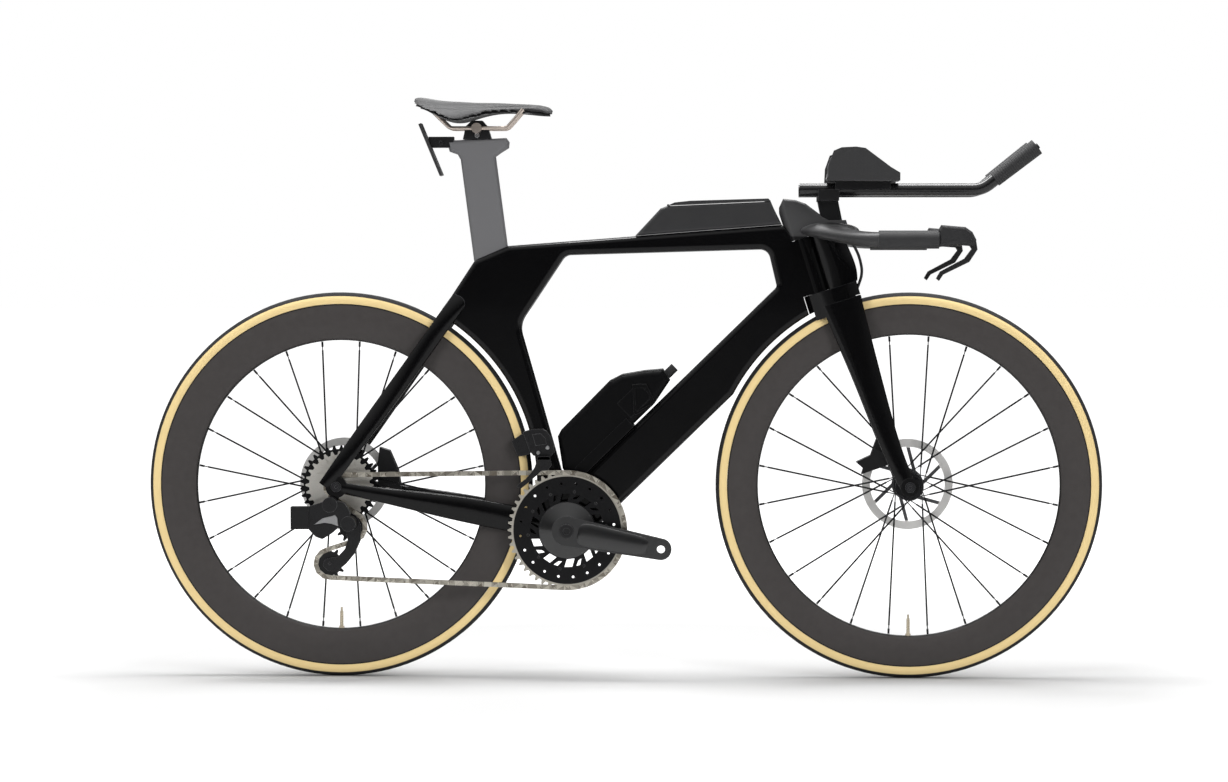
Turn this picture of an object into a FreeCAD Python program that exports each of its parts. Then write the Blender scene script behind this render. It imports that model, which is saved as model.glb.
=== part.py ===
import FreeCAD, Part
import math
import os
import re
from types import SimpleNamespace
from FreeCAD import Placement, Rotation, Vector

# Time trial bike. +X points forward, +Y to the bike's left, +Z up; the origin lies on the
# ground halfway between the axles. The drive side faces -Y. Lengths in mm, angles in degrees.

SIZES = {
    # overall geometry
    "wheelbase": 1000.0,
    "tyre_radius": 339.0,
    "wheel_gap": 8.0,
    "chainstay_reach": 402.0,
    "bb_drop": 77.0,
    "head_angle": 72.5,
    "fork_rake": 50.0,
    "fork_length": 371.0,
    "head_length": 98.5,
    "part_gap": 0.6,
    "skin_gap": 0.15,
    # main frame
    "frame_width": 39.0,
    "frame_edge_radius": 10.0,
    "frame_wall": 3.0,
    "head_radius": 20.5,
    "head_depth_low": 66.0,
    "head_depth_top": 61.0,
    "down_tube_target": 10.0,
    "down_tube_above": 48.6,
    "down_tube_below": 33.0,
    "triangle_foot": 45.0,
    "seat_knee_back": 85.5,
    "seat_knee_height": 359.0,
    "cluster_back": 137.0,
    "cluster_height": 488.0,
    "top_tube_depth": 24.5,
    "bb_shell_radius": 27.0,
    "bb_shell_width": 76.0,
    "crown_pocket": 27.0,
    "seat_tail_back": 44.0,
    "seat_tail_drop": 67.0,
    "triangle_rear": 100.0,
    "corner_small": 7.0,
    "corner_medium": 18.0,
    "corner_large": 40.0,
    "bearing_cup_radius": 19.0,
    # rear triangle
    "stay_top_back": 49.0,
    "stay_top_drop": 78.0,
    "stay_foot_back": 20.0,
    "stay_depth": 30.0,
    "stay_thickness": 14.0,
    "chainstay_depth": 42.0,
    "rear_spacing": 142.0,
    "dropout_thickness": 9.0,
    "dropout_radius": 19.0,
    # axles and hubs
    "axle_radius": 6.0,
    "axle_head_radius": 9.0,
    "axle_head_length": 2.5,
    "running_clearance": 0.05,
    "front_spacing": 100.0,
    "fork_tip_thickness": 13.0,
    "fork_tip_radius": 16.5,
    "hub_radius": 13.0,
    "flange_radius": 25.0,
    "flange_thickness": 2.0,
    "hub_bearing_radius": 11.0,
    "hub_bearing_length": 7.0,
    "front_flange_left": 24.0,
    "front_flange_right": 36.0,
    "rear_flange_left": 36.0,
    "rear_flange_right": 18.5,
    # tyres, rims, spokes, valves
    "tyre_width": 28.0,
    "tyre_wall": 2.5,
    "rim_edge_radius": 318.5,
    "rim_width": 31.0,
    "rim_edge_width": 26.0,
    "rim_nose_width": 17.0,
    "rim_wall": 2.0,
    "front_rim_depth": 54.0,
    "rear_rim_depth": 64.0,
    "spoke_radius": 0.9,
    "spoke_lace_radius": 21.0,
    "spoke_blade_width": 3.0,
    "spoke_blade_thickness": 1.2,
    "spoke_blade_lap": 2.0,
    "spoke_blade_end_room": 6.0,
    "nipple_radius": 1.9,
    "nipple_length": 9.0,
    "valve_radius": 3.0,
    "valve_length": 36.0,
    "valve_tip_radius": 1.8,
    "valve_tip_length": 7.0,
    # brake rotors and calipers
    "rotor_radius": 80.0,
    "rotor_band": 14.0,
    "rotor_thickness": 1.8,
    "rotor_carrier_radius": 28.0,
    "rotor_carrier_band": 9.0,
    "rotor_arm_width": 6.0,
    "front_rotor_offset": 39.5,
    "rear_rotor_offset": 56.0,
    "caliper_width": 26.0,
    "caliper_slot": 7.0,
    "brake_pad_thickness": 2.3,
    "brake_pad_height": 15.0,
    "brake_pad_length": 22.0,
    # seat post and saddle
    "post_angle": 7.5,
    "post_depth": 62.0,
    "post_width": 24.0,
    "post_insert": 92.0,
    "post_height": 165.0,
    "post_head_height": 38.0,
    "post_edge_radius": 8.0,
    "post_clearance": 0.3,
    "post_travel_room": 34.0,
    "barrel_radius": 9.0,
    "barrel_length": 62.0,
    "barrel_height": 19.0,
    "barrel_forward": 3.0,
    "barrel_clearance": 0.3,
    "clamp_length": 50.0,
    "clamp_width": 26.0,
    "rail_radius": 3.5,
    "rail_spacing": 44.0,
    "rail_bend_radius": 14.0,
    "saddle_length": 247.0,
    "saddle_width": 138.0,
    "saddle_height": 47.0,
    "saddle_rear": 112.0,
    "saddle_base": 9.0,
    "shell_thickness": 3.0,
    "plate_length": 98.0,
    "plate_width": 38.0,
    "plate_thickness": 5.0,
    "plate_angle": 22.5,
    "plate_back": 79.0,
    "plate_drop": 18.0,
    "plate_bracket_height": 19.0,
    "plate_bracket_length": 44.0,
    "plate_hole_radius": 2.5,
    "plate_hole_spacing": 64.0,
    "plate_bracket_width": 22.0,
    # storage box on the top tube
    "box_setback": 225.0,
    "box_length": 252.0,
    "box_height": 54.0,
    "box_width": 40.0,
    "box_wall": 2.5,
    "box_edge_radius": 5.0,
    "lid_barrel_radius": 2.0,
    # bottle on the down tube
    "bottle_start": 62.0,
    "bottle_length": 258.0,
    "bottle_height": 84.0,
    "bottle_width": 56.0,
    "bottle_edge_radius": 12.0,
    "bottle_floor": 3.4,
    "cradle_length": 126.0,
    "cradle_start": 84.0,
    "cradle_floor": 3.0,
    "cradle_side": 2.5,
    "cradle_height": 20.0,
    "cap_length": 52.0,
    "cap_height": 34.0,
    "cap_thickness": 2.0,
    "spout_radius": 8.0,
    "spout_length": 20.0,
    # fork and steering
    "crown_front": 70.0,
    "crown_rear": 25.8,
    "crown_width": 68.0,
    "crown_height": 46.0,
    "tyre_slot": 40.0,
    "leg_thickness": 16.0,
    "leg_top_chord": 72.0,
    "nose_front": 75.0,
    "nose_width": 34.0,
    "nose_gap": 1.2,
    "steerer_radius": 12.0,
    "bearing_radius": 16.5,
    "bearing_height": 7.0,
    "stem_height": 76.0,
    "stem_rear": 24.0,
    "stem_front": 84.0,
    "stem_width": 42.0,
    "stem_edge_radius": 5.0,
    # base bar, grips, hoods and levers
    "bar_rise": 14.0,
    "bar_chord": 96.0,
    "bar_thickness": 28.0,
    "bar_half_width": 192.0,
    "bar_drop": 17.0,
    "grip_start": 128.0,
    "grip_length": 102.0,
    "grip_radius": 15.5,
    "hood_length": 63.0,
    "hood_height": 38.0,
    "hood_width": 26.0,
    "hood_edge_radius": 6.0,
    "lever_length": 62.0,
    "lever_drop": 66.0,
    "lever_width": 13.0,
    "lever_pivot_radius": 2.5,
    "lever_pivot_reach": 55.0,
    "lever_pivot_drop": 3.0,
    "lever_slot_depth": 10.0,
    "lever_side_gap": 0.6,
    # extensions and armrests
    "riser_reach": 54.0,
    "riser_length": 36.0,
    "riser_base": 27.0,
    "riser_lean": 8.0,
    "riser_width": 40.0,
    "bridge_height": 19.0,
    "bridge_half_width": 78.0,
    "extension_rise": 85.0,
    "extension_rear": 4.0,
    "extension_length": 338.0,
    "extension_spread": 58.0,
    "extension_radius": 11.1,
    "extension_wall": 1.6,
    "extension_bend_radius": 45.0,
    "extension_angle": 38.0,
    "extension_tip": 112.0,
    "ext_grip_length": 92.0,
    "ext_grip_radius": 14.0,
    "button_radius": 5.0,
    "button_length": 8.0,
    "button_clearance": 0.3,
    "ext_grip_end": 8.0,
    "ext_grip_flare": 1.5,
    "button_stand_out": 3.5,
    "armrest_reach": 105.0,
    "armrest_rise": 14.0,
    "armrest_length": 124.0,
    "armrest_width": 92.0,
    "armrest_height": 58.0,
    "armrest_offset": 88.0,
    "cup_thickness": 3.0,
    "pad_thickness": 10.0,
    "pad_edge_radius": 3.0,
    "pad_bracket_length": 96.0,
    "pad_bracket_width": 46.0,
    # front brake hose
    "hose_radius": 2.5,
    # drivetrain
    "crank_length": 167.5,
    "crank_angle": 10.8,
    "arm_thickness": 13.0,
    "arm_root_radius": 26.0,
    "arm_tip_radius": 18.5,
    "arm_offset": 62.0,
    "spindle_radius": 12.0,
    "pedal_hole_radius": 7.14,
    "dome_radius": 49.0,
    "dome_rim": 3.0,
    "ring_line": 48.5,
    "ring_step": 7.5,
    "ring_thickness": 1.5,
    "large_ring_bore": 40.0,
    "small_ring_bore": 66.0,
    "bolt_radius": 2.6,
    "ring_dot_radius": 2.3,
    "large_bolt_circle": 44.5,
    "small_bolt_circle": 68.8,
    "chain_pitch": 12.7,
    "tooth_height": 6.4,
    "sprocket_line": 66.0,
    "sprocket_step": 3.6,
    "sprocket_thickness": 1.5,
    "freehub_radius": 13.5,
    "lockring_length": 1.2,
    "pulley_thickness": 1.5,
    "pulley_bore_radius": 3.0,
    "guide_forward": 25.0,
    "guide_drop": 71.0,
    "tension_back": 13.0,
    "tension_drop": 135.0,
    "cage_gap": 7.0,
    "cage_thickness": 1.8,
    "cage_plate_radius": 12.0,
    "plate_height": 8.2,
    "link_plate_thickness": 0.55,
    "link_inner_gap": 1.15,
    "roller_radius": 3.8,
    # rear derailleur body
    "hanger_drop": 30.0,
    "hanger_radius": 9.0,
    "knuckle_radius": 13.0,
    "knuckle_length": 22.0,
    "link_thickness": 18.0,
    "link_corner": 5.0,
    "battery_length": 31.0,
    "battery_height": 39.0,
    "battery_width": 24.0,
    # front derailleur
    "changer_height": 34.0,
    "changer_length": 34.0,
    "changer_width": 20.0,
    "changer_rise": 157.0,
    "changer_back": 53.0,
    "changer_battery_length": 24.0,
    "guide_plate_length": 46.0,
    "guide_plate_height": 44.0,
    "guide_plate_thickness": 1.5,
    "guide_plate_gap": 11.0,
    "guide_plate_back": 62.0,
    "guide_plate_rise": 107.0,
}

SPROCKET_TEETH = (10, 11, 12, 13, 14, 15, 17, 19, 21, 24, 28, 33)
LARGE_RING_TEETH = 50
SMALL_RING_TEETH = 37
PULLEY_TEETH = 12
SPOKE_COUNT = 24
BLADE_START_SHARE = 0.12
ROTOR_ARM_COUNT = 6
RING_BOLT_COUNT = 4
RING_SLOT_COUNT = 10
FULL_TURN = 360.0

X_AXIS = Vector(1, 0, 0)
Y_AXIS = Vector(0, 1, 0)
Z_AXIS = Vector(0, 0, 1)
RIGHT = -1
LEFT = 1

doc = FreeCAD.newDocument("TimeTrialBike")
sheet = doc.addObject("Spreadsheet::Sheet", "Sizes")
for row, (alias, value) in enumerate(SIZES.items(), start=1):
    sheet.set("A%d" % row, alias)
    sheet.set("B%d" % row, str(value))
    sheet.setAlias("B%d" % row, alias)
doc.recompute()
S = SimpleNamespace(**{alias: float(sheet.get(alias)) for alias in SIZES})
nodes = []


def sheet_name(word):
    alias = word.group(0)
    return "Sizes." + alias if alias in SIZES else alias


def bind(item, **formulas):
    """Bind properties of an object to the sheet; the bare words in a formula are aliases."""
    for prop, formula in formulas.items():
        text = re.sub(r"[a-z]\w+", sheet_name, formula)
        item.setExpression(prop, text)


def node(item, label):
    """Mark an object as a sub-part of its own."""
    item.Label = label
    nodes.append(item)
    return item


def feature(name, shape, placement=None):
    item = doc.addObject("Part::Feature", name)
    item.Shape = shape
    if placement:
        item.Placement = placement
    return item


def facing(direction):
    """Rotation that turns the local Z axis to a direction."""
    return Rotation(Z_AXIS, direction)


def cylinder(name, radius, height, base, direction):
    item = doc.addObject("Part::Cylinder", name)
    bind(item, Radius=radius, Height=height)
    item.Placement = Placement(base, facing(direction))
    return item


def box(name, length, width, height, centre, rotation=None):
    """Box about a centre point, its sizes bound to the sheet."""
    item = doc.addObject("Part::Box", name)
    bind(item, Length=length, Width=width, Height=height)
    doc.recompute()
    half = Vector(item.Length.Value / 2, item.Width.Value / 2, item.Height.Value / 2)
    turn = rotation or Rotation()
    item.Placement = Placement(centre - turn.multVec(half), turn)
    return item


def fuse(name, items):
    item = doc.addObject("Part::MultiFuse", name)
    item.Shapes = items
    return item


def cut(name, base, tool):
    item = doc.addObject("Part::Cut", name)
    item.Base = base
    item.Tool = tool
    return item


def cut_each(name, base, tools):
    """Take several objects away one after the other."""
    for index, tool in enumerate(tools):
        base = cut("%sStep%d" % (name, index), base, tool)
    return base


def mirrored(name, source):
    """Copy of an object on the other side of y = 0."""
    item = doc.addObject("Part::Mirroring", name)
    item.Source = source
    item.Normal = Y_AXIS
    return item


def compound(name, items):
    item = doc.addObject("Part::Compound", name)
    item.Links = items
    return item


def loft(name, sections):
    """Solid through ellipses given as (centre, long axis, normal, half length, half width)."""
    rings = []
    for index, (centre, long_axis, normal, major, minor) in enumerate(sections):
        ring = doc.addObject("Part::Ellipse", "%sSection%d" % (name, index))
        bind(ring, MajorRadius=major, MinorRadius=minor)
        ring.Placement = Placement(centre, Rotation(long_axis, normal.cross(long_axis), normal, "ZXY"))
        rings.append(ring)
    item = doc.addObject("Part::Loft", name)
    item.Sections = rings
    item.Solid = True
    return item


def flat(x, z):
    return Vector(x, z, 0)


def rounded(points):
    """Closed outline of lines and tangent arcs through (x, y, corner radius) points."""
    count = len(points)
    ends = []
    arcs = []
    for index, (x, y, radius) in enumerate(points):
        here = flat(x, y)
        before = flat(*points[index - 1][:2]) - here
        after = flat(*points[(index + 1) % count][:2]) - here
        if not radius:
            ends.append((here, here))
            arcs.append(None)
            continue
        before.normalize()
        after.normalize()
        half_angle = before.getAngle(after) / 2
        reach = radius / math.tan(half_angle)
        bisector = before + after
        bisector.normalize()
        middle = here + bisector * (radius / math.sin(half_angle) - radius)
        ends.append((here + before * reach, here + after * reach))
        arcs.append(middle)
    edges = []
    for index, (start, stop) in enumerate(ends):
        if arcs[index]:
            edges.append(Part.Arc(start, arcs[index], stop))
        following = ends[(index + 1) % count][0]
        edges.append(Part.LineSegment(stop, following))
    return edges


def circle(x, y, radius):
    return Part.Circle(flat(x, y), Z_AXIS, radius)


def sketch_in(body, name, role, edges):
    sketch = body.newObject("Sketcher::SketchObject", name)
    plane = [item for item in body.Origin.OriginFeatures if item.Role == role][0]
    sketch.AttachmentSupport = [(plane, "")]
    sketch.MapMode = "FlatFace"
    sketch.addGeometry(edges, False)
    return sketch


def new_body(name):
    return doc.addObject("PartDesign::Body", name)


def pad(body, name, edges, length, role="XZ_Plane", symmetric=True):
    """Pad of an outline; on the XZ plane it grows evenly to both sides of y = 0."""
    item = body.newObject("PartDesign::Pad", name)
    item.Profile = sketch_in(body, name + "Outline", role, edges)
    bind(item, Length=length)
    if symmetric:
        item.SideType = "Symmetric"
    doc.recompute()
    return item


def pocket(body, name, edges, role="XZ_Plane"):
    """Through-cut of an outline to both sides of the plane, checked by volume."""
    before = body.Shape.Volume
    item = body.newObject("PartDesign::Pocket", name)
    item.Profile = sketch_in(body, name + "Outline", role, edges)
    item.Type = "ThroughAll"
    item.SideType = "Symmetric"
    doc.recompute()
    if body.Shape.Volume >= before:
        raise RuntimeError(name + " removes nothing")
    return item


def side_fillet(body, name, base, half_width, radius, wanted=lambda middle: True):
    """Round the wanted edges of the two side faces of a symmetric pad."""
    chosen = []
    for index, edge in enumerate(base.Shape.Edges, start=1):
        extent = edge.BoundBox
        flat_edge = extent.YMax - extent.YMin < S.skin_gap
        on_side = abs(abs(extent.YMax) - half_width) < S.skin_gap
        if flat_edge and on_side and wanted(edge.CenterOfMass):
            chosen.append("Edge%d" % index)
    item = body.newObject("PartDesign::Fillet", name)
    item.Base = (base, chosen)
    bind(item, Radius=radius)
    doc.recompute()
    return item


def side_pad(name, points, length, placement, fillet=None, half_width=None, wanted=lambda middle: True):
    """Body padded from a side outline, with rounded side edges where asked for."""
    body = new_body(name)
    base = pad(body, name + "Pad", rounded(points), length)
    if fillet:
        side_fillet(body, name + "Fillet", base, half_width, fillet, wanted)
    body.Placement = placement
    return body


def turned(name, edges, placement):
    """Body turned about the Y axis from an outline of (radius, axial) points."""
    body = new_body(name)
    item = body.newObject("PartDesign::Revolution", name + "Turn")
    item.Profile = sketch_in(body, name + "Outline", "XY_Plane", edges)
    item.ReferenceAxis = (item.Profile[0], ["V_Axis"])
    item.Angle = FULL_TURN
    body.Placement = placement
    doc.recompute()
    return body


def tube(name, points, bends, radius):
    """Round tube along straight runs joined by tangent arcs."""
    edges = []
    start = points[0]
    for index in range(1, len(points) - 1):
        corner = points[index]
        before = points[index - 1] - corner
        after = points[index + 1] - corner
        before.normalize()
        after.normalize()
        half_angle = before.getAngle(after) / 2
        reach = bends[index - 1] / math.tan(half_angle)
        bisector = before + after
        bisector.normalize()
        middle = corner + bisector * (bends[index - 1] / math.sin(half_angle) - bends[index - 1])
        arc_start = corner + before * reach
        arc_stop = corner + after * reach
        edges.append(Part.LineSegment(start, arc_start).toShape())
        edges.append(Part.Arc(arc_start, middle, arc_stop).toShape())
        start = arc_stop
    edges.append(Part.LineSegment(start, points[-1]).toShape())
    path = Part.Wire(edges)
    first = points[1] - points[0]
    profile = Part.Wire(Part.makeCircle(radius, points[0], first))
    shape = path.makePipeShell([profile], True, False)
    print("%s length %.1f, volume share of section x length %.4f, bends %s" % (
        name, path.Length, shape.Volume / (math.pi * radius ** 2 * path.Length),
        ["%.1f" % bend for bend in bends]))
    return shape


# Anchor points: hubs, bottom bracket, steering frame (u forward, v left, w up the steering axis)
REAR_HUB = Vector(-S.wheelbase / 2, 0, S.tyre_radius)
FRONT_HUB = Vector(S.wheelbase / 2, 0, S.tyre_radius)
BRACKET = Vector(REAR_HUB.x + S.chainstay_reach, 0, S.tyre_radius - S.bb_drop)
STEER_TURN = Rotation(Y_AXIS, S.head_angle - FULL_TURN / 4)
STEER_U = STEER_TURN.multVec(X_AXIS)
STEER_W = STEER_TURN.multVec(Z_AXIS)
STEER_FOOT = FRONT_HUB - STEER_U * S.fork_rake
STEER = Placement(STEER_FOOT, STEER_TURN)
HEAD_LOW = S.fork_length
HEAD_TOP = S.fork_length + S.head_length


def steer(u, v, w):
    return STEER.multVec(Vector(u, v, w))


# Down-tube frame (s along the tube from the bracket, n above it)
tube_target = steer(0, 0, HEAD_LOW + S.down_tube_target)
TUBE_S = (tube_target - BRACKET).normalize()
TUBE_N = Vector(-TUBE_S.z, 0, TUBE_S.x)
TUBE_TURN = Rotation(TUBE_S, Y_AXIS, TUBE_N, "ZXY")


def down_tube(s, n):
    return BRACKET + TUBE_S * s + TUBE_N * n


# Seat cluster and seat-post frame (a forward of the post, b up the post)
CLUSTER = BRACKET + Vector(-S.cluster_back, 0, S.cluster_height)
POST = Placement(CLUSTER, Rotation(Y_AXIS, -S.post_angle))


def post(a, b):
    return POST.multVec(Vector(a, 0, b))


# Top edge of the top tube: from the front of the seat post to the back of the stem
COLLAR_FRONT_SHARES = (0.50, 0.16)
COLLAR_REAR_SHARES = (-0.43, -0.24)
TOP_FRONT_SHARE = 0.345
collar_front = CLUSTER + Vector(COLLAR_FRONT_SHARES[0], 0, COLLAR_FRONT_SHARES[1]) * S.post_depth
collar_rear = CLUSTER + Vector(COLLAR_REAR_SHARES[0], 0, COLLAR_REAR_SHARES[1]) * S.post_depth
top_front = steer(-S.stem_rear - S.nose_gap, 0, HEAD_TOP + S.head_length * TOP_FRONT_SHARE)
TOP_T = (top_front - collar_front).normalize()
TOP_N = Vector(-TOP_T.z, 0, TOP_T.x)


def top_tube(t, n):
    return collar_front + TOP_T * t + TOP_N * n


# Wheels: hollow tyre on a hollow deep rim, laced spokes, turned hub, rotor on the left, valve at the bottom
RIM_BULGE_SHARE = 0.34
NOSE_RISE_SHARE = 0.10
HUB_WAIST_SHARE = 0.75


def tyre(label, hub):
    """Open casing: two circle arcs of the tyre section, standing on the rim edges."""
    half = S.tyre_width / 2
    core = S.tyre_radius - half
    foot = S.rim_edge_radius + S.skin_gap
    inner = half - S.tyre_wall
    outer_y = math.sqrt(half ** 2 - (core - foot) ** 2)
    inner_y = math.sqrt(inner ** 2 - (core - foot) ** 2)
    edges = [
        Part.Arc(flat(foot, -outer_y), flat(S.tyre_radius, 0), flat(foot, outer_y)),
        Part.LineSegment(flat(foot, outer_y), flat(foot, inner_y)),
        Part.Arc(flat(foot, inner_y), flat(core + inner, 0), flat(foot, -inner_y)),
        Part.LineSegment(flat(foot, -inner_y), flat(foot, -outer_y)),
    ]
    return node(turned(label, edges, Placement(hub, Rotation())), label)


def rim_section(edge, depth, edge_half, half, nose_half, nose_rise):
    """Deep rim section: flat tyre bed, bulging sides, round nose towards the hub."""
    nose = edge - depth
    bulge = edge - depth * RIM_BULGE_SHARE
    return [
        Part.LineSegment(flat(edge, edge_half), flat(edge, -edge_half)),
        Part.Arc(flat(edge, -edge_half), flat(bulge, -half), flat(nose + nose_rise, -nose_half)),
        Part.Arc(flat(nose + nose_rise, -nose_half), flat(nose, 0), flat(nose + nose_rise, nose_half)),
        Part.Arc(flat(nose + nose_rise, nose_half), flat(bulge, half), flat(edge, edge_half)),
    ]


def rim(label, hub, depth):
    wall = S.rim_wall
    edges = rim_section(S.rim_edge_radius, depth, S.rim_edge_width / 2, S.rim_width / 2,
                        S.rim_nose_width / 2, depth * NOSE_RISE_SHARE)
    edges += rim_section(S.rim_edge_radius - wall, depth - 2 * wall, S.rim_edge_width / 2 - wall,
                         S.rim_width / 2 - wall, S.rim_nose_width / 2 - wall, depth * NOSE_RISE_SHARE)
    return node(turned(label, edges, Placement(hub, Rotation())), label)


def spokes(label, hub, rim_depth, left_flange, right_flange):
    """Tangent-laced bladed spokes with nipples; neighbours run to opposite flanges and either side of one."""
    nose = S.rim_edge_radius - rim_depth
    pitch = 2 * math.pi / SPOKE_COUNT
    swing = math.acos(S.spoke_lace_radius / nose)
    stand_off = S.flange_thickness / 2 + S.spoke_radius + S.skin_gap
    edge_run = math.sqrt(S.flange_radius ** 2 - S.spoke_lace_radius ** 2) / nose
    solids = []
    for index in range(SPOKE_COUNT):
        angle = math.pi / 2 + (index - 0.5) * pitch
        outside = index % 4 in (1, 2)
        side = RIGHT if index % 2 else LEFT
        flange = right_flange if side == RIGHT else left_flange
        stand = stand_off + (flange + 2 * stand_off) * edge_run if outside else -stand_off
        foot_angle = angle + swing if outside else angle - swing
        foot = Vector(math.cos(foot_angle) * S.spoke_lace_radius, side * (flange + stand),
                      math.sin(foot_angle) * S.spoke_lace_radius)
        head_radius = nose - S.part_gap
        head = Vector(math.cos(angle) * head_radius, 0, math.sin(angle) * head_radius)
        run = head - foot
        length = run.Length
        run.normalize()
        across = run.cross(Y_AXIS)
        across.normalize()
        flat = run.cross(across)
        start = length * BLADE_START_SHARE
        blade_length = length - start - S.nipple_length - S.spoke_blade_end_room
        middle = foot + run * start
        corner = middle - across * (S.spoke_blade_width / 2) - flat * (S.spoke_blade_thickness / 2)
        blade = Part.makeBox(S.spoke_blade_width, S.spoke_blade_thickness, blade_length)
        blade.Placement = Placement(corner, Rotation(across, flat, run, "ZXY"))
        root = Part.makeCylinder(S.spoke_radius, start + S.spoke_blade_lap, foot, run)
        tip_length = S.nipple_length + S.spoke_blade_end_room + S.spoke_blade_lap
        tip = Part.makeCylinder(S.spoke_radius, tip_length, head - run * tip_length, run)
        nipple = Part.makeCylinder(S.nipple_radius, S.nipple_length, head - run * S.nipple_length, run)
        solids.append(root.fuse([blade, tip, nipple]))
    return node(feature(label, Part.Compound(solids), Placement(hub, Rotation())), label)


def hub_shell(label, hub, left_end, right_end, left_flange, right_flange):
    """Turned hub with two flanges and a running bore on the axle."""
    bore = S.axle_radius + S.running_clearance
    half = S.flange_thickness / 2
    waist = S.hub_radius * HUB_WAIST_SHARE
    points = [
        (bore, -right_end, 0), (S.hub_bearing_radius, -right_end, 0),
        (S.hub_bearing_radius, -right_flange - half, 0), (S.flange_radius, -right_flange - half, 0),
        (S.flange_radius, -right_flange + half, 0), (S.hub_radius, -right_flange + half, 0),
        (waist, 0, 0), (S.hub_radius, left_flange - half, 0),
        (S.flange_radius, left_flange - half, 0), (S.flange_radius, left_flange + half, 0),
        (S.hub_bearing_radius, left_flange + half, 0), (S.hub_bearing_radius, left_end, 0),
        (bore, left_end, 0),
    ]
    return node(turned(label, rounded(points), Placement(hub, Rotation())), label)


def lock_ring(label, hub, offset):
    """Collar that joins the rotor carrier to the hub."""
    start = hub + Y_AXIS * (offset - S.hub_bearing_length)
    length = "rotor_thickness + hub_bearing_length"
    outer = cylinder(label + "Collar", "rotor_carrier_radius - rotor_carrier_band - skin_gap", length, start,
                     Y_AXIS)
    bore = cylinder(label + "CollarBore", "hub_bearing_radius + skin_gap", length, start, Y_AXIS)
    return cut(label + "LockRing", outer, bore)


def rotor(label, hub, offset):
    """Braking band and carrier ring joined by slanted arms, clamped on the left of the hub."""
    body = new_body(label + "Disc")
    band_inner = S.rotor_radius - S.rotor_band
    carrier_inner = S.rotor_carrier_radius - S.rotor_carrier_band
    pad(body, label + "Band", [circle(0, 0, S.rotor_radius), circle(0, 0, band_inner)], "rotor_thickness")
    spread = math.pi / ROTOR_ARM_COUNT
    for index in range(ROTOR_ARM_COUNT):
        low = 2 * spread * index
        high = low + spread
        start = flat(math.cos(low), math.sin(low)) * (S.rotor_carrier_radius - S.rotor_arm_width / 2)
        stop = flat(math.cos(high), math.sin(high)) * (band_inner + S.rotor_arm_width / 2)
        across = (stop - start).cross(Z_AXIS).normalize() * (S.rotor_arm_width / 2)
        corners = [start - across, stop - across, stop + across, start + across]
        pad(body, "%sArm%d" % (label, index), rounded([(c.x, c.y, 0) for c in corners]), "rotor_thickness")
    pad(body, label + "Carrier", [circle(0, 0, S.rotor_carrier_radius), circle(0, 0, carrier_inner)],
        "rotor_thickness")
    body.Placement = Placement(hub + Y_AXIS * offset, Rotation())
    return node(compound(label + "Set", [body, lock_ring(label, hub, offset)]), label)


def valve(label, hub, rim_depth):
    """Valve stem pointing from the rim to the hub, straight above the ground point."""
    nose = S.rim_edge_radius - rim_depth
    base = hub - Z_AXIS * (nose - S.part_gap)
    stem = cylinder(label + "Stem", "valve_radius", "valve_length - valve_tip_length", base, Z_AXIS)
    tip = cylinder(label + "Tip", "valve_tip_radius", "valve_tip_length",
                   base + Z_AXIS * (S.valve_length - S.valve_tip_length), Z_AXIS)
    return node(fuse(label, [stem, tip]), label)


tyre("front_tyre", FRONT_HUB)
tyre("rear_tyre", REAR_HUB)
rim("front_rim", FRONT_HUB, S.front_rim_depth)
rim("rear_rim", REAR_HUB, S.rear_rim_depth)
spokes("front_spokes", FRONT_HUB, S.front_rim_depth, S.front_flange_left, S.front_flange_right)
spokes("rear_spokes", REAR_HUB, S.rear_rim_depth, S.rear_flange_left, S.rear_flange_right)
FRONT_HUB_HALF = S.front_spacing / 2 - S.part_gap
REAR_HUB_HALF = S.rear_spacing / 2 - S.part_gap
CASSETTE_INNER = S.sprocket_line - S.sprocket_step * (len(SPROCKET_TEETH) - 1) - S.sprocket_step
hub_shell("front_hub", FRONT_HUB, FRONT_HUB_HALF, FRONT_HUB_HALF, S.front_flange_left, S.front_flange_right)
hub_shell("rear_hub", REAR_HUB, REAR_HUB_HALF, CASSETTE_INNER, S.rear_flange_left, S.rear_flange_right)
rotor("front_rotor", FRONT_HUB, S.front_rotor_offset)
rotor("rear_rotor", REAR_HUB, S.rear_rotor_offset)
valve("front_valve", FRONT_HUB, S.front_rim_depth)
valve("rear_valve", REAR_HUB, S.rear_rim_depth)


# Main frame: side outline with the triangle and both wheel cut-outs, hollow, with head tube and bracket shell
WHEEL_SIDE_SHARE = 0.9
WHEEL_SIDE_ANGLES = (-10.0, 25.0, 52.0)
TUBE_END_SHARE = 0.75
POCKET_DEPTH_SHARE = 1.3
SHELL_LOW_SHARES = (-0.75, -1.2)
half_frame = S.frame_width / 2
wheel_room = S.tyre_radius + S.wheel_gap
seat_tail = collar_rear + Vector(-S.seat_tail_back, 0, -S.seat_tail_drop)
tube_length = (tube_target - BRACKET).Length
shell_low = BRACKET + Vector(SHELL_LOW_SHARES[0], 0, SHELL_LOW_SHARES[1]) * S.bb_shell_radius


def beside_rear_wheel(angle):
    """Point inside the rear tyre's circle, where the cut-out takes the frame away."""
    reach = S.tyre_radius * WHEEL_SIDE_SHARE
    return REAR_HUB + Vector(math.cos(math.radians(angle)), 0, math.sin(math.radians(angle))) * reach


def corner(point, radius=0):
    return (point.x, point.z, radius)


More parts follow.
